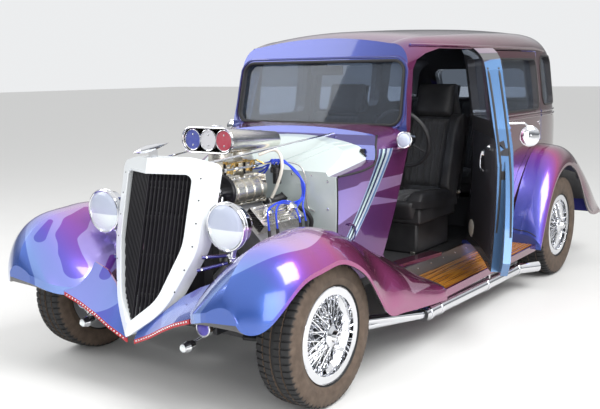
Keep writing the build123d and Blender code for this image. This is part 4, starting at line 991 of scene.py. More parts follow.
def springs():
    """Coil springs with dampers between the lower arms and the rails."""
    coils = Form()
    dampers = Form()
    for sign in (1, -1):
        low = Vector((478 * sign, front_axle_y, 262))
        high = Vector((428 * sign, front_axle_y, 398))
        axis = high - low
        first, second = square_pair(axis)
        path = []
        for step in range(coil_turns * coil_steps + 1):
            turn = 2 * math.pi * step / coil_steps
            share = coil_start + (1 - 2 * coil_start) * step / (coil_turns * coil_steps)
            out = first * math.cos(turn) + second * math.sin(turn)
            path.append(low + axis * share + out * coil_radius)
        coils.tube(path, coil_wire, 8)
        dampers.tube([low, low + axis * 0.5], 20, 16)
        dampers.tube([low + axis * 0.45, high], 9, 12)
        for share in (0.04, 0.96):
            dampers.spun([(-4, 36), (4, 36)], low + axis * share, axis, 24)
    coils.piece("front_springs", "chrome")
    dampers.piece("front_dampers", "satin")


headlamp_parts()
small_lamp_parts()
shell_parts()
apron_studs()
braces()
springs()


# Engine

crank_z = 500
blower_z = 862.5
belt_front = -1369
belt_back = -1324
carburettor_ys = (-1190, -1040)
scoop_z = 1121


def drive_parts():
    """Toothed belt, round drive cover and pulleys ahead of the blower."""
    belt = Form()
    low, high = Vector((0, 0, crank_z)), Vector((0, 0, blower_z))
    rings = []
    for centre, radius, start in ((high, 84, 0), (low, 91, 180)):
        for angle in range(start, start + 181, 10):
            out = Vector((math.cos(math.radians(angle)), 0, math.sin(math.radians(angle))))
            outer, inner = centre + out * radius, centre + out * (radius - 7)
            rings.append([(outer.x, belt_front, outer.z), (outer.x, belt_back, outer.z),
                          (inner.x, belt_back, inner.z), (inner.x, belt_front, inner.z)])
    belt.rings(rings, loop=True)
    for index in range(26):
        height = 520 + index * 13
        reach = 89 - (height - 520) * 0.018
        for sign in (1, -1):
            near, far = sorted((reach * sign, (reach + 3) * sign))
            belt.box((near, belt_front + 1, height), (far, belt_back - 1, height + 6))
    belt.piece("blower_belt", "rubber", sharp=50)
    cover = Form()
    cover.spun([(0, 70), (5, 70), (9, 64), (10, 34)], (0, -1370, blower_z), (0, -1, 0), 48)
    cover.spun([(0, 64), (5, 64), (8, 40)], (0, -1370, crank_z), (0, -1, 0), 40)
    cover.box((-76, -1369.2, 560), (76, -1367.6, 800))
    cover.spun([(0, 84), (10, 84), (16, 78), (17, 34)], (72, -1262, 872), (0, -1, 0), 48)
    cover.piece("drive_covers", "engine_black")
    pulleys = Form()
    for z in (blower_z, crank_z):
        for y in (-1371, -1322):
            pulleys.spun([(-2.5, 88), (2.5, 88)], (0, y, z), (0, 1, 0), 48)
    pulleys.spun([(0, 33), (12, 30), (16, 20), (18, 0.5)], (0, -1378, blower_z), (0, -1, 0), 32)
    pulleys.spun([(0, 38), (10, 34), (14, 0.5)], (0, -1378, crank_z), (0, -1, 0), 32)
    for step in range(0, 360, 45):
        turn = math.radians(step)
        pulleys.bolt((math.cos(turn) * 52, -1379, blower_z + math.sin(turn) * 52), (0, -1, 0), 5, 5)
    pulleys.spun([(-12, 30), (12, 30), (14, 26)], (104, -1352, 690), (0, -1, 0), 28)
    pulleys.spun([(0, 26), (34, 26), (38, 20), (58, 20), (62, 14), (62, 0.5)], (84, -1276, 868),
                 (0, -1, 0), 28)
    pulleys.tube([(98, -1300, 850), (104, -1330, 760), (104, -1345, 700)], 12, 12)
    pulleys.piece("blower_pulleys", "chrome")


def blower_parts():
    """Flanges, bolts and end plates of the blower."""
    plate = Form()
    for y in (-1256, -996):
        plate.box((-128, y - 4, 792), (128, y + 4, 934))
    plate.box((-104, -1262, 922), (104, -988, 930))
    plate.box((-112, -1258, 792), (112, -992, 802))
    plate.piece("blower_plates", "polished", bevel=2)
    bolts = Form()
    for sign in (1, -1):
        for index in range(7):
            y = -1245 + index * 40
            bolts.bolt((96 * sign, y, 930), (0, 0, 1), 5.5, 6)
            bolts.bolt((104 * sign, y, 797), (sign, 0, 0.4), 5, 6)
        for x, z in ((112, 812), (118, 862), (112, 914), (60, 922), (60, 803)):
            bolts.bolt((x * sign, -1260, z), (0, -1, 0), 5.5, 5)
            bolts.bolt((x * sign, -992, z), (0, 1, 0), 5.5, 5)
    bolts.piece("blower_bolts", "chrome")


def carburettor_parts():
    """Linkage, bowls, vents and fuel pipes of the carburettors."""
    gold = Form()
    pale = Form()
    black = Form()
    for y in carburettor_ys:
        for end in (-1, 1):
            gold.box((-40, y + end * 66 - 4, 955), (40, y + end * 66 + 4, 1000))
            for x in (-28, 28):
                for z in (964, 991):
                    gold.bolt((x, y + end * 71, z), (0, end, 0), 4.5, 5)
        for sign in (1, -1):
            gold.spun([(0, 9), (14, 9), (18, 12), (22, 12)], (48 * sign, y, 958), (sign, 0, 0), 16)
            gold.tube([(60 * sign, y, 958), (66 * sign, y, 990), (66 * sign, y + 22, 1002)], 4.5, 8)
            gold.spun([(0, 7), (10, 7), (14, 4)], (50 * sign, y - 24, 1004), (sign, 0, 0.2), 12)
            pale.tube([(50 * sign, y + 18, 975), (78 * sign, y + 18, 975)], 6, 10)
        pale.spun([(0, 64), (3, 64), (3, 60)], (0, y, 1052), (0, 0, 1), 40)
        black.twin_tubes([(52, y - 30, 938), (52, y - 30, 1000)], 5)
    gold.twin_tubes([(66, -1230, 1001), (66, -990, 1001)], 3.6)
    gold.tube([(66, -990, 1001), (90, -960, 980)], 4.5, 8)
    gold.piece("carburettor_linkage", "brass")
    pale.twin_tubes([(80, -1260, 975), (80, -1000, 975)], 6.5, 12)
    for sign in (1, -1):
        for y in (-1256, -1172, -1022):
            pale.spun([(-8, 10), (8, 10)], (80 * sign, y, 975), (0, 1, 0), 6)
    pale.piece("fuel_rails", "chrome")
    black.piece("carburettor_screws", "engine_black")
    knob = Form()
    knob.tube([(120, -1247, 1085), (140, -1247, 1108)], 4, 8)
    knob.spun([(-10, 4), (-7, 11), (3, 13), (9, 9), (11, 0.5)], (150, -1247, 1119), (0.5, 0, 0.8), 16)
    knob.piece("scoop_knob", "knob_red")


def scoop_parts():
    """Bezel round the scoop's mouth, with rings and screws round the flaps."""
    trim = Form()
    outline = []
    for step in range(-90, 91, 10):
        turn = math.radians(step)
        outline.append((103 + math.cos(turn) * 61, scoop_z + math.sin(turn) * 61))
    whole = outline + [(-x, z) for x, z in reversed(outline)]
    trim.tube([(x, -1287, z) for x, z in whole], 4.2, 8, closed=True)
    for x in (-101, 0, 101):
        trim.hoop((x, -1279, scoop_z), 50.5, 2.6, 8)
        for height in (-26, 26):
            trim.bolt((x, -1277, scoop_z + height), (0, -1, 0), 3.6, 3)
    trim.piece("scoop_trim", "chrome")


def cover_parts():
    """Bolts and breathers of the valve covers."""
    bright = Form()
    for sign in (1, -1):
        lean = math.radians(42) * sign
        out = Vector((math.cos(lean), 0, -math.sin(lean)))
        up = Vector((math.sin(lean), 0, math.cos(lean)))
        base = Vector((205 * sign, -1117.5, 668))
        for y in range(-132, 133, 88):
            for edge in (-52, 52):
                bright.bolt(base + out * edge * sign + up * 135 + Vector((0, y, 0)), up, 6, 6)
        for y in (-96, 96):
            bright.spun([(0, 14), (10, 14), (10, 24), (34, 24), (38, 18), (38, 0.5)],
                        base + up * 136 + Vector((0, y, 0)), up, 24)
    bright.piece("valve_cover_trim", "chrome")


def ignition_parts():
    """Blue plug leads from a cap behind the carburettors down to each side's plugs."""
    cap_spot = Vector((150, -930, 948))
    black = Form()
    black.spun([(-70, 22), (-14, 22), (-12, 34), (14, 34), (20, 28), (20, 0.5)], cap_spot, (0, 0, 1), 28)
    posts = []
    for step in range(8):
        turn = math.radians(step * 45)
        posts.append(cap_spot + Vector((math.cos(turn) * 24, math.sin(turn) * 24, 18)))
        black.spun([(0, 6), (12, 5)], posts[-1], (0, 0, 1), 10)
    black.piece("distributor", "engine_black")
    leads = Form()
    boots = Form()
    for index, y in enumerate((-1262, -1198, -1010, -960)):
        start = posts[(index + 6) % 8] + Vector((0, 0, 12))
        spread = index * 9
        path = [start, start + Vector((16, 4, 18)), (218 + spread, -918, 978 - spread),
                (276 + spread * 0.7, -912, 930 - spread), (296 + spread * 0.6, -914, 872),
                (300 + spread * 0.5, -922, 818)]
        if index < 2:
            path += [(302, -985, 800 - spread), (312, -1100, 822 - spread), (330, y + 34, 806),
                     (346, y, 770), (352, y, 712), (356, y, 668)]
        else:
            path += [(318 + spread * 0.3, y + 10, 776), (346, y, 730), (356, y, 668)]
        leads.tube(curve_through(path, 6), 4.6, 8)
        boots.tube([(353, y, 706), (357, y, 660)], 8, 10)
    for index, y in enumerate((-1240, -1155, -1070, -985)):
        start = posts[(index + 2) % 8] + Vector((0, 0, 12))
        path = [start, start + Vector((-10, 6, 20)), (60, -938, 976 - index * 19),
                (-110, -930, 952 - index * 26), (-230, (y - 960) / 2, 866), (-318, y + 8, 800),
                (-350, y, 752), (-356, y, 668)]
        leads.tube(curve_through(path, 6), 4.2, 8)
        boots.tube([(-353, y, 706), (-357, y, 660)], 8, 10)
    leads.piece("plug_leads", "lead_blue")
    boots.piece("plug_boots", "hose_black")


def pipes_and_hoses():
    """Fuel tube, heater hoses and the throttle cable before the firewall."""
    white = Form()
    white.tube(curve_through([(96, -1010, 1030), (150, -950, 1053), (192, -948, 1016), (188, -945, 935),
                              (128, -948, 806), (96, -980, 770)], 8), 8.5, 12)
    white.piece("fuel_tube", "tube_white")
    wide_hose = [(119, -985, 783), (122, -930, 786), (150, -890, 800), (160, -879, 812)]
    thin_hose = [(240, -1010, 790), (300, -930, 760), (330, -885, 700), (320, -880, 640)]
    black = Form()
    black.tube(curve_through(wide_hose, 6), 23, 16)
    black.tube(curve_through(thin_hose, 6), 12, 12)
    black.piece("heater_hoses", "hose_black")
    ring = Form()
    ring.spun([(-5, 27), (5, 27)], (119, -978, 783), (0, 1, 0), 24)
    ring.piece("heater_clamp", "chrome")
    cable = Form()
    cable.tube(curve_through([(90, -960, 980), (226, -900, 985), (300, -898, 935), (312, -890, 770),
                              (353, -885, 743)], 8), 3.4, 8)
    cable.piece("throttle_cable", "satin")


def alternator():
    """Alternator low on the engine's right."""
    bright = Form()
    bright.spun([(-70, 20), (-66, 56), (-10, 62), (30, 62), (62, 56), (68, 22)], (-178, -1290, 560),
                (0, 1, 0), 36)
    bright.spun([(-8, 36), (8, 36)], (-178, -1352, 560), (0, 1, 0), 32)
    bright.tube([(-178, -1290, 610), (-120, -1270, 650)], 8, 8)
    bright.piece("alternator", "satin")


drive_parts()
blower_parts()
carburettor_parts()
scoop_parts()
cover_parts()
ignition_parts()
pipes_and_hoses()
alternator()


# Body trim

def side_points(node, pairs, lift=2.0, right=False):
    """Points on the outside of a node's flank for pairs of y and z, given on the car's left."""
    sign = -1 if right else 1
    found = traced(node, [(from_side * sign, y, z) for y, z in pairs], (-sign, 0, 0), lift)
    return [Vector((abs(point.x), point.y, point.z)) for point in found]


def back_points(pairs):
    """Points on the outside of the rear body's back for pairs of x and z."""
    return traced("rear_body", [(x, from_back, z) for x, z in pairs], (0, -1, 0), 1.0)


def rounded_loop(y_low, y_high, z_low, z_high, corner, steps=6):
    """Rectangle with round corners as pairs of y and z."""
    pairs = []
    near, far = y_low + corner, y_high - corner
    low, high = z_low + corner, z_high - corner
    for centre_y, centre_z, start in ((far, high, 0), (near, high, 90), (near, low, 180), (far, low, 270)):
        for step in range(steps + 1):
            turn = math.radians(start + 90 * step / steps)
            pairs.append((centre_y + math.cos(turn) * corner, centre_z + math.sin(turn) * corner))
    return pairs


def closed_up(pairs, gap=60):
    """The same loop with points at most one gap apart."""
    dense = []
    for start, end in zip(pairs, pairs[1:] + pairs[:1]):
        count = max(1, math.ceil(math.dist(start, end) / gap))
        for step in range(count):
            share = step / count
            dense.append((start[0] + (end[0] - start[0]) * share, start[1] + (end[1] - start[1]) * share))
    return dense


door_places = (
    ("front", "left", "front_left_door", swung, "open_trim_paint"),
    ("front", "right", "front_right_door", other_side, "trim_paint"),
    ("rear", "left", "rear_left_door", as_drawn, "trim_paint"),
    ("rear", "right", "rear_right_door", other_side, "trim_paint"),
)
door_spans = {"front": (-330, 430), "rear": (502, 1418)}
window_loops = {"front": (-211, 378, 1166, 1506, 50), "rear": (554, 1386, 1166, 1506, 50)}
belt_heights = (1118, 1146)


def belt_lines():
    """Two painted beads along the belt of the doors and the rear body."""
    for end, side, body, change, finish in door_places:
        low, high = door_spans[end]
        beads = Form()
        for z in belt_heights:
            pairs = [(low + 8 + (high - low - 16) * step / 14, z) for step in range(15)]
            beads.tube(side_points("door_" + end + "_right", pairs, 1.0, True), 6.5, 8)
        beads.piece("belt_" + end + "_" + side, finish, body, change)
    beads = Form()
    for z in belt_heights:
        line = side_points("rear_body", [(1434 + 590 * step / 12, z) for step in range(13)], 1.0)
        beads.twin_tubes(line + back_points([(x, z) for x in range(400, -1, -80)]), 6.5)
    beads.piece("belt_rear_body", "trim_paint")


def drip_rails():
    """Rain rails along the roof's sides."""
    rails = Form()
    pairs = [(-300 + 2050 * step / 30, 1577 - max(0, step - 25) * 4) for step in range(31)]
    rails.twin_tubes(side_points("roof", pairs, 4.0), 8)
    rails.piece("drip_rails", "trim_paint")


def window_rubbers():
    """Black rubber round the doors' windows, the quarter windows and the rear window."""
    for end, side, body, change, _ in door_places:
        rubber = Form()
        pairs = closed_up(rounded_loop(*window_loops[end]))
        rubber.tube(side_points("door_" + end + "_right", pairs, 0.5, True), 6, 8, closed=True)
        rubber.piece("window_rubber_" + end + "_" + side, "rubber", body, change)
    rubber = Form()
    pairs = closed_up(rounded_loop(1494, 1856, 1189, 1531, 64))
    rubber.twin_tubes(side_points("rear_body", pairs, 0.5), 6, closed=True)
    rubber.tube(back_points(closed_up(rounded_loop(-386, 386, 1209, 1451, 66))), 7, 8, closed=True)
    rubber.piece("fixed_window_rubbers", "rubber")


screen_half = 557
screen_foot, screen_top = 1154, 1493
screen_taper = 0.0215
screen_lean = 0.21


def windscreen_trim():
    """Rubber seal and painted bead round the windscreen."""
    for name, finish, grow, thick in (("windscreen_rubber", "rubber", 3, 9),
                                      ("windscreen_bead", "trim_paint", 24, 7)):
        form = Form()
        path = []
        loop = rounded_loop(-screen_half - grow, screen_half + grow, screen_foot - grow, screen_top + grow,
                            60 + grow)
        for x, z in closed_up(loop, 50):
            narrowed = x * (1 - screen_taper * (z - screen_foot) / (screen_top - screen_foot))
            spot, _ = surface("cowl", (narrowed * 1.004, -900, z), (0, 1, 0))
            front = -385 + screen_lean * (z - 1130)
            if spot is None or abs(spot.y - front) > 25:
                spot = Vector((narrowed, front, z))
            path.append(Vector((spot.x, spot.y - 1, spot.z)))
        form.tube(path, thick, 8, closed=True)
        form.piece(name, finish)


def cowl_edging():
    """Dark moulding along the cowl's open edge."""
    edge = [(-868, 929), (-800, 936), (-720, 946), (-650, 968), (-632, 990), (-612, 1040), (-596, 1066),
            (-565, 1094), (-535, 1112)]
    form = Form()
    line = traced("cowl", [(900, y + 5, z - 4) for y, z in edge], (-1, 0, 0), 1.0)
    form.twin_tubes(curve_through(line, 4), 5.5)
    front = traced("cowl", [(900, -866, z) for z in range(600, 921, 40)], (-1, 0, 0))
    form.twin_tubes([point + Vector((0, -4, 0)) for point in front], 4.5)
    form.piece("cowl_moulding", "rubber")


def firewall_parts():
    """Fine ribs and screws on the firewall, with a latch and a hook on the cowl."""
    ribs = Form()
    screws = Form()
    for sign in (1, -1):
        for x_low, x_high in ((60, 330), (170, 400)):
            starts = [((x_low + (x_high - x_low) * step / 8) * sign, -840 + 30 * step, 1400)
                      for step in range(9)]
            ribs.tube(traced("firewall", starts, (0, 0, -1)), 5, 8, flat=0.7)
        for x, z in ((430, 900), (430, 760), (430, 620), (330, 925), (210, 925), (90, 925), (130, 640),
                     (350, 640)):
            spot, normal = surface("firewall", (x * sign, -1300, z), (0, 1, 0))
            screws.bolt(spot, normal, 5, 4)
    ribs.piece("firewall_ribs", "firewall")
    screws.piece("firewall_screws", "chrome")
    dark = Form()
    dark.box((466, -632, 1010), (486, -606, 1044))
    dark.tube([(470, -640, 1034), (492, -634, 1018), (498, -622, 1004)], 4, 8)
    dark.piece("cowl_latch", "bar_black", bevel=2)
    hook = Form()
    spot, _ = surface("cowl", (900, -784, 646), (-1, 0, 0))
    hook.tube(curve_through([(spot.x + 2, -812, 676), (spot.x + 12, -780, 672), (spot.x + 14, -764, 640),
                             (spot.x + 12, -770, 606), (spot.x + 2, -774, 590)], 6), 4.5, 8)
    hook.piece("cowl_hook", "trim_paint")


pipe_start = Vector((798, -560, 190))
pipe_end = Vector((790, 790, 156))


def board_parts():
    """Pipe clamps, screws along the sill's splash panel and welts where the fenders end."""
    clamps = Form()
    for sign in (1, -1):
        for y in (-500, -380, 250, 760):
            share = (y - pipe_start.y) / (pipe_end.y - pipe_start.y)
            x, _, z = pipe_start + (pipe_end - pipe_start) * share
            clamps.spun([(-11, 39), (-9, 41), (9, 41), (11, 39)], (x * sign, y, z), (0, 1, -0.025), 28)
            clamps.bolt((x * sign, y, z + 42), (0, 0, 1), 5, 6)
        for y in range(-400, 880, 160):
            for spot in traced("running_boards", [(from_side * sign, y, 345)], (-sign, 0, 0)):
                clamps.spun([(0, 5), (1.5, 4.5), (2.5, 2)], spot, (sign, 0, 0), 12)
    clamps.piece("pipe_clamps", "chrome")
    beads = Form()
    for sign in (1, -1):
        for node, y in (("front_fenders", -447), ("rear_fenders", 911)):
            starts = [((650 + 215 * step / 8) * sign, y, 900) for step in range(9)]
            line = traced(node, starts, (0, 0, -1))
            beads.tube([point + Vector((0, 0, 1)) for point in line], 3.5, 6)
    beads.piece("fender_welts", "rubber")


belt_lines()
drip_rails()
window_rubbers()
windscreen_trim()
cowl_edging()
firewall_parts()
board_parts()


# Doors inside

front_sides, rear_sides = ([row[1:4] for row in door_places if row[0] == end]
                           for end in ("front", "rear"))


def inner_point(y, z, inward=0.0, end="front"):
    """Point on the inner face of a shut door, on the car's left."""
    node, sign = ("door_front_right", -1) if end == "front" else ("door_rear_left", 1)
    spot, _ = surface(node, (200 * sign, y, z), (sign, 0, 0))
    return spot and Vector((abs(spot.x) - inward, y, z))


def trim_panel(end, y_low, y_high, z_low, z_high, lean, pad_y, pad_z):
    """Trim panel over a door's inner face, with a raised pad given as y and z limits."""
    form = Form()
    columns, rows = 34, 26
    grid = []
    for row in range(rows + 1):
        z = z_low + (z_high - z_low) * row / rows
        front = y_low + lean * (z_high - z) / (z_high - z_low)
        line = []
        for column in range(columns + 1):
            y = front + (y_high - front) * column / columns
            reach = max(0, min(y - pad_y[0], pad_y[1] - y, z - pad_z[0], pad_z[1] - z))
            rise = 5.0 + 9 * (1 - math.exp(-reach / 22))
            edge = min(column, columns - column, row, rows - row)
            line.append(inner_point(y, z, rise if edge else -4.0, end))
        grid.append(line)
    known = [point for line in grid for point in line if point]
    nearest = min(known, key=lambda point: (point.y - y_low) ** 2)
    grid = [[point or nearest for point in line] for line in grid]
    form.rings(grid, closed_ring=False, capped=False)
    return form


# The front door's front edge lies ahead of this
edge_limit = -150


def edge_point(z, share):
    """Point on the front edge of the shut front door, at a share of its thickness from inside."""
    hits = []
    for x in range(470, 760, 6):
        spot, normal = surface("door_front_right", (-x, -1000, z), (0, 1, 0))
        if spot and spot.y < edge_limit and abs(normal.y) > 0.7:
            hits.append(Vector((abs(spot.x), spot.y, spot.z)))
    return hits[round((len(hits) - 1) * share)]


def edge_line(share, step=35, order=4):
    """Smooth line down the front edge of the shut front door."""
    points = [edge_point(z, share) for z in range(610, 1481, step)]
    heights = [point.z / 1000 for point in points]
    across = numpy.polyfit(heights, [point.x for point in points], order)
    line = []
    for point, z in zip(points, heights):
        x = float(numpy.polyval(across, z))
        spot, _ = surface("door_front_right", (-x, -1000, z * 1000), (0, 1, 0))
        if spot and spot.y < edge_limit and abs(spot.y - point.y) < 60:
            line.append((x, spot.y + 1, z * 1000))
    return line


def door_insides():
    """Trim panels, window cranks and levers of the doors, with the front doors' latches and edge seals."""
    for side, body, change in front_sides:
        panel = trim_panel("front", -395, 405, 440, 1095, 60, (-330, 370), (800, 1040))
        panel.piece("door_trim_front_" + side, "panel", body, change, sharp=60)
        bright = Form()
        crank = inner_point(-10, 985, 12)
        bright.spun([(0, 22), (5, 22), (9, 15), (20, 11)], crank, (-1, 0, 0), 24)
        bends = ((-18, 0, 0), (-22, 2, -50), (-22, -14, -84), (-24, -66, -88))
        bright.tube(curve_through([crank + Vector(bend) for bend in bends], 6), 6.5, 10)
        lever = inner_point(-200, 1035, 12)
        bright.spun([(0, 20), (5, 20), (9, 14), (14, 10)], lever, (-1, 0, 0), 24)
        bright.tube([lever + Vector((-12, 6, 0)), lever + Vector((-13, -66, -4))], 7, 10)
        bright.piece("door_handles_front_" + side, "chrome", body, change)
        plate = Form()
        plate.spun([(0, 52), (3, 52), (5, 46), (6, 0.5)], inner_point(300, 505, 6), (-1, 0, 0), 32)
        plate.piece("door_plate_front_" + side, "tube_white", body, change)
        seal = Form()
        for share in (0.18, 0.86):
            seal.tube(edge_line(share), 6, 8, flat=0.7)
        seal.piece("door_seal_front_" + side, "rubber", body, change)
        latch = Form()
        spot = edge_point(907, 0.42)
        latch.box((spot.x - 12, spot.y - 3, 885), (spot.x + 12, spot.y + 6, 930))
        latch.piece("door_latch_front_" + side, "bar_black", body, change, bevel=2)
    for side, body, change in rear_sides:
        panel = trim_panel("rear", 560, 1000, 640, 1095, 0, (600, 960), (700, 1050))
        panel.piece("door_trim_rear_" + side, "panel", body, change, sharp=60)
        bright = Form()
        for y, z, reach in ((760, 950, 80), (920, 1035, 66)):
            root = inner_point(y, z, 14, "rear")
            bright.spun([(0, 24), (5, 24), (9, 18), (22, 13)], root, (-1, 0, 0), 24)
            tip = root + Vector((-24, -reach * 0.8, -reach * 0.35))
            bright.tube([root + Vector((-20, 0, 0)), tip], 6, 10)
        bright.piece("door_handles_rear_" + side, "chrome", body, change)


def door_buttons():
    """Push buttons outside on the doors."""
    for end, side, body, change, _ in door_places:
        y = 1380 if end == "rear" else -300
        spot = side_points("door_" + end + "_right", [(y, 1070)], 0.0, True)[0]
        form = Form()
        form.spun([(-2, 16), (4, 15), (7, 9), (8, 0.5)], spot, (1, 0, 0.05), 20)
        form.piece("door_button_" + end + "_" + side, "chrome", body, change)


# Seats

# A lower number makes a pad fuller towards its edges
stuffing = 0.42


def puffed(width, height, corner, lift, columns, rows):
    """Grid of places and heights of a stuffed pad: across, along, height."""
    grid = []
    for row in range(rows + 1):
        line = []
        v = -1 + 2 * row / rows
        for column in range(columns + 1):
            u = -1 + 2 * column / columns
            rim = (1 - abs(u) ** corner) * (1 - abs(v) ** corner)
            line.append((u * width / 2, v * height / 2, lift * max(rim, 0.0) ** stuffing))
        grid.append(line)
    return grid


def pad(form, centre, across, along, out, width, height, depth, lift, channels=0, corner=5.0):
    """Stuffed pad: a puffed front over flat sides, open at the back, with sewn channels along it."""
    centre, across, along, out = (Vector(value) for value in (centre, across, along, out))
    across.normalize()
    along.normalize()
    out.normalize()
    columns = 16 * channels or 22
    grid = puffed(width, height, corner, lift, columns, 20)
    front = []
    for line in grid:
        row = []
        for u, v, rise in line:
            if channels:
                share = (u / width + 0.5) * channels
                rise *= 0.72 + 0.28 * abs(math.sin(math.pi * share)) ** 0.5
            rise += 1.2 * math.sin(u * 0.031 + v * 0.017) * rise / max(lift, 1)
            row.append(centre + across * u + along * v + out * (depth + rise))
        front.append(row)
    form.rings(front, closed_ring=False, capped=False)
    right = [row[-1] for row in front][1:]
    left = [row[0] for row in front][-2:0:-1]
    edge = front[0] + right + front[-1][-2::-1] + left
    back = [point - out * depth for point in edge]
    form.rings([edge, back], capped=False)


# A pad's direction along it and its direction out, for each part of a front seat
across = Vector((1, 0, 0))
cushion = ((0, 1, -0.08), (0, 0.08, 1))
backrest = (Vector((0, 0.30, 0.95)).normalized(), Vector((0, -0.95, 0.30)).normalized())
seat_behind = (backrest[0], -backrest[1])
seat_x = 337


def front_seats():
    """Bucket seats with a ribbed middle, side bolsters and a plain headrest."""
    for side, change in (("left", as_drawn), ("right", other_side)):
        x = seat_x
        soft = Form()
        for reach in (-168, 168):
            pad(soft, (x + reach, 130, 640), across, *cushion, 92, 490, 40, 58)
        pad(soft, (x, -75, 640), across, (0, 0.35, -0.9), (0, -0.9, -0.2), 340, 120, 10, 34)
        back = Vector((x, 437.5, 915))
        for sign in (1, -1):
            pad(soft, back + Vector((175 * sign, -2, 0)), across, *backrest, 78, 500, 60, 62)
        pad(soft, (x, 527, 1245), across, *backrest, 250, 205, 40, 42)
        pad(soft, (x, 560, 1250), across, *seat_behind, 240, 200, 14, 16)
        pad(soft, (x, 500, 900), across, *seat_behind, 400, 520, 10, 26)
        made = soft.piece("front_seat_" + side, "seat", change=change, sharp=70)
        if side == "left":
            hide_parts("front_seats")
        middle_pads = Form()
        pad(middle_pads, (x, 140, 640), across, *cushion, 262, 470, 34, 44, channels=6)
        pad(middle_pads, back + Vector((0, 8, 0)), across, *backrest, 286, 440, 44, 40, channels=6)
        made = middle_pads.piece("front_seat_middle_" + side, "seat_cloth", change=change, sharp=70)
        shell = Form()
        shell.box((x - 200, -90, 560), (x + 200, 380, 655))
        shell.box((x - 165, -60, 375), (x + 165, 360, 560))
        outline = [(300, 640), (420, 640), (545, 1060), (575, 1340), (530, 1346), (470, 1080)]
        shell.rings([[(x + hand * (190 if z < 1100 else 110), y, z) for y, z in outline]
                     for hand in (-1, 1)])
        shell.piece("front_seat_shell_" + side, "seat", change=change, bevel=14)
        rails = Form()
        for offset in (-140, 140):
            rails.box((x + offset - 14, -70, 375), (x + offset + 14, 350, 392))
        rails.tube([(x + 205, 395, 690), (x + 222, 395, 700)], 12, 12)
        rails.piece("front_seat_fittings_" + side, "satin", change=change, bevel=2)


def rear_bench():
    """Rear bench with stitched panels."""
    soft = Form()
    for x in (-356, 0, 356):
        pad(soft, (x, 1240, 650), across, (0, 1, -0.05), (0, 0.05, 1), 350, 470, 40, 46, channels=5)
        pad(soft, (x, 1560, 930), across, (0, 0.20, 0.98), (0, -0.98, 0.20), 350, 540, 30, 46, channels=5)
    made = soft.piece("rear_bench_pads", "seat_cloth", sharp=70)
    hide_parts("rear_seat")
    base = Form()
    base.box((-530, 1010, 590), (530, 1475, 660))
    outline = ((1480, 640), (1600, 640), (1700, 1200), (1660, 1236), (1590, 1216))
    base.rings([[(reach, y, z) for y, z in outline] for reach in (-530, 530)])
    base.piece("rear_bench_base", "seat", bevel=16)


gauge_z = 1068


def cab_fittings():
    """Gauges, pedals, shifter and mirror inside the cab."""
    dark = Form()
    pale = Form()
    bright = Form()
    for x, reach in ((370, 44), (270, 34), (470, 34), (120, 30), (40, 30), (-40, 30)):
        bezel = [(0, reach + 5), (6, reach + 5), (8, reach + 2), (8, reach)]
        bright.spun(bezel, (x, -299, gauge_z), (0, 1, 0), 32)
        pale.spun([(0, reach), (5, reach)], (x, -299, gauge_z), (0, 1, 0), 28)
        dark.tube([(x, -293, gauge_z - 4), (x + reach * 0.5, -293, gauge_z + reach * 0.6)], 1.6, 6)
    for x in (-300, 220):
        bright.box((x - 60, -300, 1000), (x + 60, -296, 1024))
    bright.tube([(0, -170, 585), (6, -130, 800), (10, -110, 860)], 7, 10)
    bright.spun([(-4, 10), (4, 22), (20, 24), (34, 16), (40, 0.5)], (10, -110, 856), (0, 0.15, 1), 24)
    for x, width in ((250, 60), (360, 44), (430, 44)):
        dark.box((x - width / 2, -640, 470), (x + width / 2, -628, 540))
        dark.tube([(x, -636, 540), (x, -700, 700)], 6, 8)
    dark.box((-150, -240, 376), (150, 300, 420))
    bright.piece("cab_bright_parts", "chrome", bevel=0.8)
    pale.piece("gauge_faces", "dial")
    dark.piece("cab_dark_parts", "bar_black", bevel=1)
    mirror = Form()
    mirror.box((-110, -245, 1420), (110, -232, 1474))
    mirror.tube([(0, -240, 1474), (0, -262, 1532)], 6, 8)
    mirror.piece("inside_mirror", "bar_black", bevel=4)


mirror_place = (752, 1092)


def mirror_backs():
    """Domed backs of the door mirrors."""
    for side, body, change in front_sides:
        form = Form()
        x, z = mirror_place
        form.spun([(0, 52), (6, 50), (13, 40), (17, 22), (18, 0.5)], (x, -209, z), (0, -1, 0), 40)
        form.hoop((x, -208, z), 52, 3, 8)
        form.spun([(0, 9), (12, 7)], (x, -225, z), (0, -1, 0), 16)
        form.piece("mirror_back_" + side, "chrome", body, change)


door_insides()
door_buttons()
mirror_backs()
front_seats()
rear_bench()
cab_fittings()


# Camera, floor and light

camera_spot = place(2678, -4225, 1445)
camera_azimuth = math.radians(35.89)
camera_drop = math.radians(9.29)
camera_roll = math.radians(-0.81)
camera_lens = 48.8
floor_reach = 60


def make_camera():
    """The photograph's viewpoint."""
    forward = Vector((-math.sin(camera_azimuth) * math.cos(camera_drop),
                      math.cos(camera_azimuth) * math.cos(camera_drop),
                      -math.sin(camera_drop)))
    level = Vector((math.cos(camera_azimuth), math.sin(camera_azimuth), 0))
    upright = level.cross(forward)
    right = level * math.cos(camera_roll) + upright * math.sin(camera_roll)
    top = upright * math.cos(camera_roll) - level * math.sin(camera_roll)
    data = bpy.data.cameras.new("camera")
    data.sensor_fit = "HORIZONTAL"
    data.sensor_width = 36
    data.lens = camera_lens
    data.clip_end = 200
    camera = bpy.data.objects.new("camera", data)
    bpy.context.scene.collection.objects.link(camera)
    turn = Matrix((right, top, -forward)).transposed().to_4x4()
    camera.matrix_world = Matrix.Translation(camera_spot) @ turn
    bpy.context.scene.camera = camera


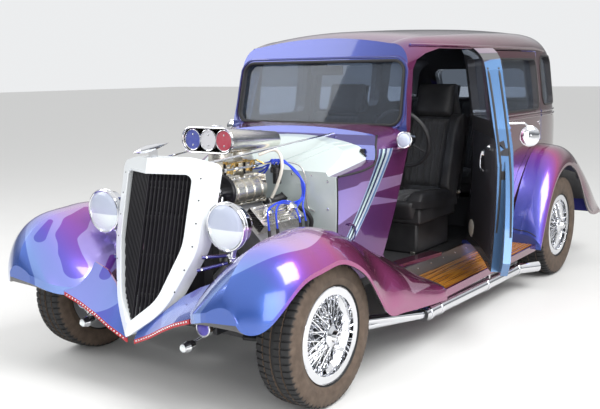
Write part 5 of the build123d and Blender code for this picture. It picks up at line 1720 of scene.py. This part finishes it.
def make_floor():
    """Plain pale floor."""
    mesh = bpy.data.meshes.new("studio_floor")
    reach = floor_reach
    corners = [(-reach, -reach, 0), (reach, -reach, 0), (reach, reach, 0), (-reach, reach, 0)]
    mesh.from_pydata(corners, [], [(0, 1, 2, 3)])
    floor = bpy.data.objects.new("studio_floor", mesh)
    bpy.context.scene.collection.objects.link(floor)
    shader = uneven("studio_floor", (0.70, 0.70, 0.69), 0.8, 0.0, 3, 0.02)
    mesh.materials.append(shader.material)


def make_world():
    """Soft studio light, brighter from above."""
    world = bpy.data.worlds.new("studio")
    world.use_nodes = True
    bpy.context.scene.world = world
    tree = world.node_tree
    background = tree.nodes["Background"]
    coordinates = tree.nodes.new("ShaderNodeTexCoord")
    parts = tree.nodes.new("ShaderNodeSeparateXYZ")
    ramp = tree.nodes.new("ShaderNodeValToRGB")
    tree.links.new(coordinates.outputs["Generated"], parts.inputs[0])
    tree.links.new(parts.outputs[2], ramp.inputs[0])
    tree.links.new(ramp.outputs[0], background.inputs["Color"])
    stops = ((0.0, (0.24, 0.25, 0.26)), (0.10, (0.20, 0.21, 0.22)), (0.30, (0.75, 0.77, 0.80)),
             (0.7, (1.0, 1.0, 1.0)))
    set_stops(ramp.color_ramp, stops)
    background.inputs["Strength"].default_value = 0.95
    backdrop = tree.nodes.new("ShaderNodeBackground")
    backdrop.inputs["Color"].default_value = (0.84, 0.85, 0.86, 1)
    ray = tree.nodes.new("ShaderNodeLightPath")
    choice = tree.nodes.new("ShaderNodeMixShader")
    tree.links.new(ray.outputs["Is Camera Ray"], choice.inputs[0])
    tree.links.new(background.outputs[0], choice.inputs[1])
    tree.links.new(backdrop.outputs[0], choice.inputs[2])
    tree.links.new(choice.outputs[0], tree.nodes["World Output"].inputs["Surface"])


def make_lamp(name, spot, aim, size, power):
    """Square soft lamp."""
    data = bpy.data.lights.new(name, "AREA")
    data.size = size
    data.energy = power
    lamp = bpy.data.objects.new(name, data)
    bpy.context.scene.collection.objects.link(lamp)
    lamp.matrix_world = Matrix.Translation(spot) @ (aim - spot).to_track_quat("-Z", "Y").to_matrix().to_4x4()


make_camera()
make_floor()
make_world()
make_lamp("key", place(3800, -1200, 4800), place(200, -400, 600), 3.2, 330)
make_lamp("fill", place(-4200, -3800, 4200), place(0, -800, 600), 3.6, 150)
make_lamp("front", place(3600, -4200, 1500), place(200, -1000, 800), 2.6, 80)
bpy.context.scene.view_settings.view_transform = "Standard"
